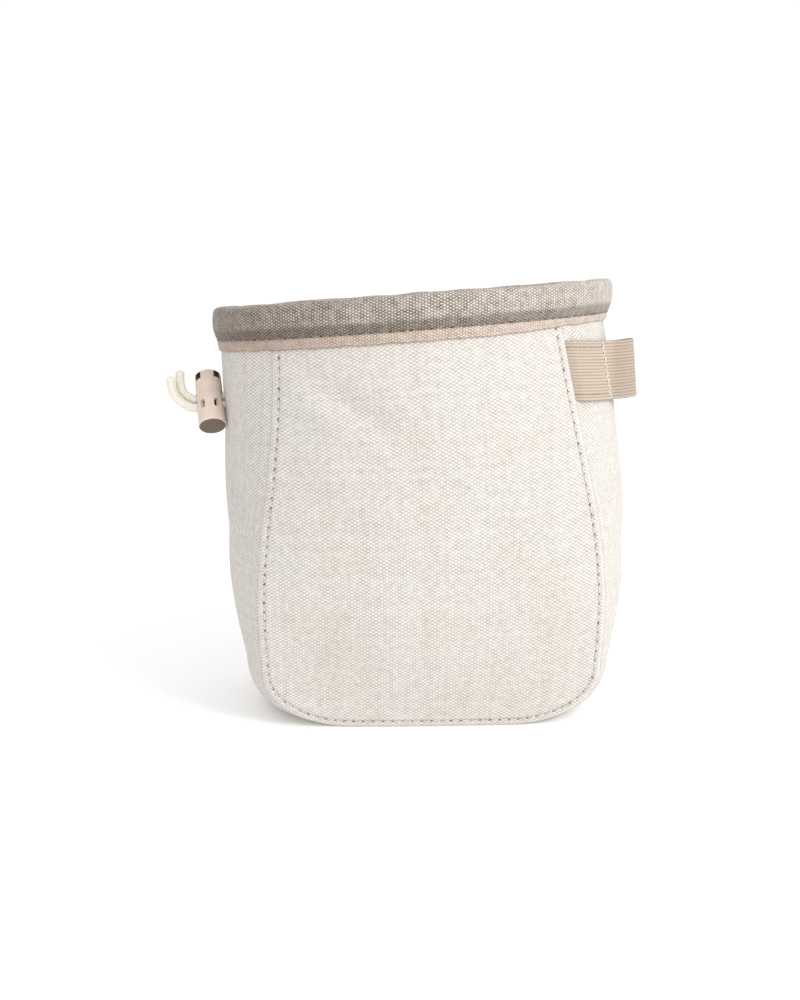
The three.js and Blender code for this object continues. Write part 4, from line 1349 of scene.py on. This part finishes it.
def webbing_piece(name, place, length_steps, width, cloth, node):
    """place(s, w) gives the under face's point and normal: s runs 0 to 1 along, w -1 to 1."""
    s = np.linspace(0, 1, length_steps)
    ribs = int(round(width / RIB_PITCH))
    w = np.linspace(-1, 1, ribs * 4 + 1)
    grid_s, grid_w = np.meshgrid(s, w, indexing="ij")
    point, normal = place(grid_s, grid_w)
    rib = np.abs(np.sin(math.pi * (grid_w + 1) / 2 * ribs))
    edge = smooth(np.abs(grid_w), 1 - 2.6 / width, 1 - 1.2 / width)
    rolled = (np.abs(grid_w) - (1 - 1.3 / width)) / (1.4 / width)
    rolled = np.sqrt(np.clip(1 - rolled**2, 0, 1))
    face = cloth * 0.78 + 0.2 * rib * (1 - edge) + edge * (0.22 * rolled)
    ends = np.minimum(grid_s, 1 - grid_s) * length_steps
    face = face * np.where(ends < 1, 0.7, 1)
    outer = point + normal * face[..., None]
    inner = point + normal * (0.12 * (1 - rib))[..., None]
    middle = outer[:, outer.shape[1] // 2]
    run = np.broadcast_to(run_along(middle)[:, None] / RIB_ALONG, grid_s.shape)
    weave = np.stack([(grid_w + 1) / 2 * ribs, run], -1)
    piece = shell(name, outer, inner, weave, None, webbing, "webbing")
    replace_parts(piece, node)
    return outer, normal


def brush_place(s, w):
    z = BRUSH_LOOP_TOP - WEBBING_WIDTH / 2
    t = float(step_at(z))
    v = BRUSH_TUCK * (2 * s - 1)
    drop = (gusset_point(t, v)[..., 0] - float(panel_half(z))) * math.tan(BRUSH_TURN)
    upright = np.maximum(1 - (v / BRUSH_SEWN) ** 2, 0)
    # The loop's start is bent round softly where the sewn part ends
    lift = BRUSH_BOW * upright + 0.12 * np.exp(-((np.abs(v) - BRUSH_SEWN) / 0.03) ** 2)
    # Its two ends go down into the panels' seams
    lift = lift - 1.3 * smooth(np.abs(v), 0.955, BRUSH_TUCK)
    # The back half hangs a little lower, behind the front half
    height = z - drop + WEBBING_WIDTH * w / 2 - 1.6 * smooth(v, -0.1, 0.45)
    normal = gusset_normal(t, v) * np.array([1, 1, 0])
    normal = unit(normal)
    point = gusset_point(step_at(lerp(height, z, upright)), v)
    point = point + normal * (GAP + lift)[..., None]
    return np.stack([point[..., 0], point[..., 1], height], -1), normal


brush_face, brush_normal = webbing_piece(
    "brush_loop_webbing", brush_place, 240, WEBBING_WIDTH, WEBBING_CLOTH, "brush_loop",
)


def brush_stitches():
    """Rows along the sewn part's two edges, and a white row across where the loop starts."""
    rows, columns = brush_face.shape[:2]
    v = BRUSH_TUCK * (2 * np.linspace(0, 1, rows) - 1)
    edge = Sheets()
    across = Sheets()
    for side in (-1, 1):
        sewn = np.where(side * v > BRUSH_SEWN + 0.03)[0]
        for share in (-0.78, 0.78):
            column = int(round((share + 1) / 2 * (columns - 1)))
            line = brush_face[sewn, column]
            stitch_row(edge, line, brush_normal[sewn, column], 1.2, 0.8, 2.3, **BRUSH_EDGE_THREAD)
        row = int(np.argmin(np.abs(v - side * (BRUSH_SEWN + 0.05))))
        line = brush_face[row, 2:-2]
        stitch_row(across, line, brush_normal[row, 2:-2], 1.0, 0.5, 2.5, **BRUSH_CROSS_THREAD)
    outward(edge.piece("brush_loop_edge_stitches", webbing_thread, "webbing"))
    outward(across.piece("brush_loop_cross_stitches", white_thread, "webbing"))


brush_stitches()


def belt_place(s, w):
    share = 2 * s - 1
    z = BELT_LOOP_CENTRE + share * BELT_LOOP_HEIGHT / 2
    sewn = 1 - 2 * BELT_LOOP_HEM / BELT_LOOP_HEIGHT
    lift = BELT_SLOT * smooth(sewn - np.abs(share), 0, sewn * 0.3)
    x = BELT_LOOP_WIDTH * w / 2
    normal = panel_normal(x, z)
    point = panel_point(x, z, BACK_DENTS) + normal * (GAP + lift)[..., None]
    return point * np.array([1, -1, 1]), normal * np.array([1, -1, 1])


belt_face, belt_normal = webbing_piece(
    "belt_loop_webbing", belt_place, 130, BELT_LOOP_WIDTH, BELT_LOOP_CLOTH, "belt_loop",
)


def belt_stitches():
    rows, columns = belt_face.shape[:2]
    sheets = Sheets()
    for row_share in (0.035, 0.085, 0.915, 0.965):
        row = int(round(row_share * (rows - 1)))
        line = belt_face[row, 3:-3]
        stitch_row(sheets, line, belt_normal[row, 3:-3], 1.5, 1, 3.0, **BELT_THREAD)
    outward(sheets.piece("belt_loop_stitches", canvas_thread, "webbing"))


belt_stitches()

# The cord lock
BORE_RADIUS = BARREL_DIAMETER / 2 - BARREL_WALL
BUTTON_RADIUS = BORE_RADIUS - RUNNING_GAP
NOTCH_FROM = 2.3
NOTCH_DEPTH = 2.7


def arc(centre, radius, start, end, steps=5):
    return [
        (centre[0] + radius * math.cos(math.radians(lerp(start, end, k / steps))),
         centre[1] + radius * math.sin(math.radians(lerp(start, end, k / steps))))
        for k in range(steps + 1)
    ]


def barrel_piece():
    radius = BARREL_DIAMETER / 2
    low, high = BARREL_LOW, BARREL_HIGH
    profile = [(0, low), (radius - 0.9, low)]
    profile += arc((radius - 0.55, low + 0.55), 0.55, -90, 0)[1:]
    profile += [(radius, low + 5), (radius - 0.1, high - 4)]
    profile += arc((radius - 0.75, high - 0.6), 0.6, 0, 90)
    profile += arc((BORE_RADIUS + 0.3, high - 0.3), 0.3, 90, 180)
    profile += [(BORE_RADIUS, low + BARREL_END), (0, low + BARREL_END)]
    points, faces = turned_solid(profile, 72)
    piece = solid_piece(
        "cord_lock_body", points, faces, plastic, "bag", LOCK_PLACE,
    )
    make_outward(piece)
    half = CORD_HOLE_LENGTH / 2
    cutters = [slot_solid(CORD_HOLE_WIDTH, -half, half, BARREL_DIAMETER)]
    for side in (-1, 1):
        x = side * 2.3
        cutters.append(front_slot_solid(x, 1.5, -4.6, -0.9, radius))
        groove = (x - 0.35, -radius - 1, -1.4), (x + 0.35, -radius * 0.86 + 0.05, 6.5)
        cutters.append(box_solid(*groove))
        # The pocket at the mouth's corner stays clear of the bore
        for near, far, back in ((NOTCH_FROM, 3.0, -3.0), (2.95, radius + 1, -2.0)):
            left, right = sorted((side * near, side * far))
            pocket = (left, -radius - 1, high - NOTCH_DEPTH - 0.5), (right, back, high - 0.7)
            cutters.append(box_solid(*pocket))
    cut(piece, cutters, LOCK_PLACE, bevel=0.14)
    piece.data.materials.append(end_painted_shade)
    piece.data.materials.append(bore_painted_shade)
    axis = (LOCK_PLACE.to_3x3() @ Vector((0, 0, 1))).normalized()
    for face in piece.data.polygons:
        face.use_smooth = True
        where = LOCK_PLACE.inverted() @ (face.center / MM)
        # The end face gets painted shade
        if face.normal.dot(axis) < -0.8 and where.z < low + 0.3:
            face.material_index = 1
        # The bore and the notches' pockets get a darker painted shade
        elif math.hypot(where.x, where.y) < BORE_RADIUS + 0.1 and where.z > low + BARREL_END / 2:
            face.material_index = 2
        elif (math.hypot(where.x, where.y) < radius - 0.15 and abs(where.x) > NOTCH_FROM - 0.1
              and high - NOTCH_DEPTH - 0.6 < where.z < high - 0.6 and where.y < -1.5):
            face.material_index = 2
    smooth_by_angle(piece)
    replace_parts(piece, "cord_lock_barrel")


def smooth_by_angle(piece):
    for face in piece.data.polygons:
        face.use_smooth = True
    piece.data.set_sharp_from_angle(angle=math.radians(35))


def button_piece():
    top = BARREL_HIGH + BUTTON_STAND_OUT
    low = -CORD_HOLE_LENGTH / 2 - BUTTON_WEB
    profile = [(0, low), (BUTTON_RADIUS - 0.2, low), (BUTTON_RADIUS, low + 0.2)]
    profile += arc((BUTTON_RADIUS - 0.9, top - 0.9), 0.9, 0, 90)
    profile += [(1.4, top), (1.1, top - 0.18), (0, top - 0.25)]
    points, faces = turned_solid(profile, 56)
    piece = solid_piece(
        "cord_lock_plunger", points, faces, plastic, "button", LOCK_PLACE,
    )
    make_outward(piece)
    half = CORD_HOLE_LENGTH / 2
    cutters = [slot_solid(CORD_HOLE_WIDTH, -half, half + BUTTON_TRAVEL, BARREL_DIAMETER)]
    cut(piece, cutters, LOCK_PLACE, bevel=0.12)
    piece.data.materials.append(bore_painted_shade)
    for face in piece.data.polygons:
        where = LOCK_PLACE.inverted() @ (face.center / MM)
        # The button's sides seen in the notches get painted shade
        if abs(where.x) > NOTCH_FROM - 0.1 and where.z < BARREL_HIGH:
            face.material_index = 1
    smooth_by_angle(piece)
    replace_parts(piece, "cord_lock_button")


barrel_piece()
button_piece()


# Floor, light and background
def floor_piece():
    size = 4.0
    mesh = bpy.data.meshes.new("floor")
    corners = [(-size, -size, 0), (size, -size, 0), (size, size, 0), (-size, size, 0)]
    mesh.from_pydata(corners, [], [(0, 1, 2, 3)])
    graph = Graph("floor_paper")
    grain = graph.noise(300.0, 2.0)
    color = graph.mix(grain, (0.96, 0.96, 0.96, 1), (0.98, 0.98, 0.98, 1))
    paper = graph.finish(color, 0.9, [(grain, 0.00002)])
    shader = next(n for n in paper.node_tree.nodes if n.type == "BSDF_PRINCIPLED")
    shader.inputs["Emission Color"].default_value = (1, 1, 1, 1)
    shader.inputs["Emission Strength"].default_value = 0.1
    mesh.materials.append(paper)
    floor = bpy.data.objects.new("floor", mesh)
    bpy.context.scene.collection.objects.link(floor)


def area_light(name, place, target, size, power, color):
    light = bpy.data.lights.new(name, "AREA")
    light.shape = "DISK"
    light.size = size
    light.energy = power
    light.color = color
    lamp = bpy.data.objects.new(name, light)
    lamp.location = place
    lamp.rotation_euler = (Vector(target) - Vector(place)).to_track_quat("-Z", "Y").to_euler()
    bpy.context.scene.collection.objects.link(lamp)


floor_piece()
world = bpy.data.worlds.new("studio")
world.use_nodes = True
sky = world.node_tree.nodes["Background"]
sky.inputs["Color"].default_value = (1, 1, 1, 1)
# The studio's left wall is darker than the rest of it
SKY_SPAN, SKY_DARK, SKY_BRIGHT = (-1.0, -0.4), 0.5, 1.03
direction = world.node_tree.nodes.new("ShaderNodeTexCoord")
parts = world.node_tree.nodes.new("ShaderNodeSeparateXYZ")
world.node_tree.links.new(direction.outputs["Generated"], parts.inputs[0])
falloff = world.node_tree.nodes.new("ShaderNodeMapRange")
falloff.interpolation_type = "SMOOTHSTEP"
for key, number in zip(range(1, 5), (*SKY_SPAN, SKY_DARK, SKY_BRIGHT)):
    falloff.inputs[key].default_value = number
world.node_tree.links.new(parts.outputs["X"], falloff.inputs[0])
world.node_tree.links.new(falloff.outputs[0], sky.inputs["Strength"])
bpy.context.scene.world = world
area_light("key", (0.75, -0.75, 0.75), (0, 0, 0.08), 0.5, 6.0, (1.0, 0.995, 0.99))
bpy.context.scene.view_settings.view_transform = "Standard"
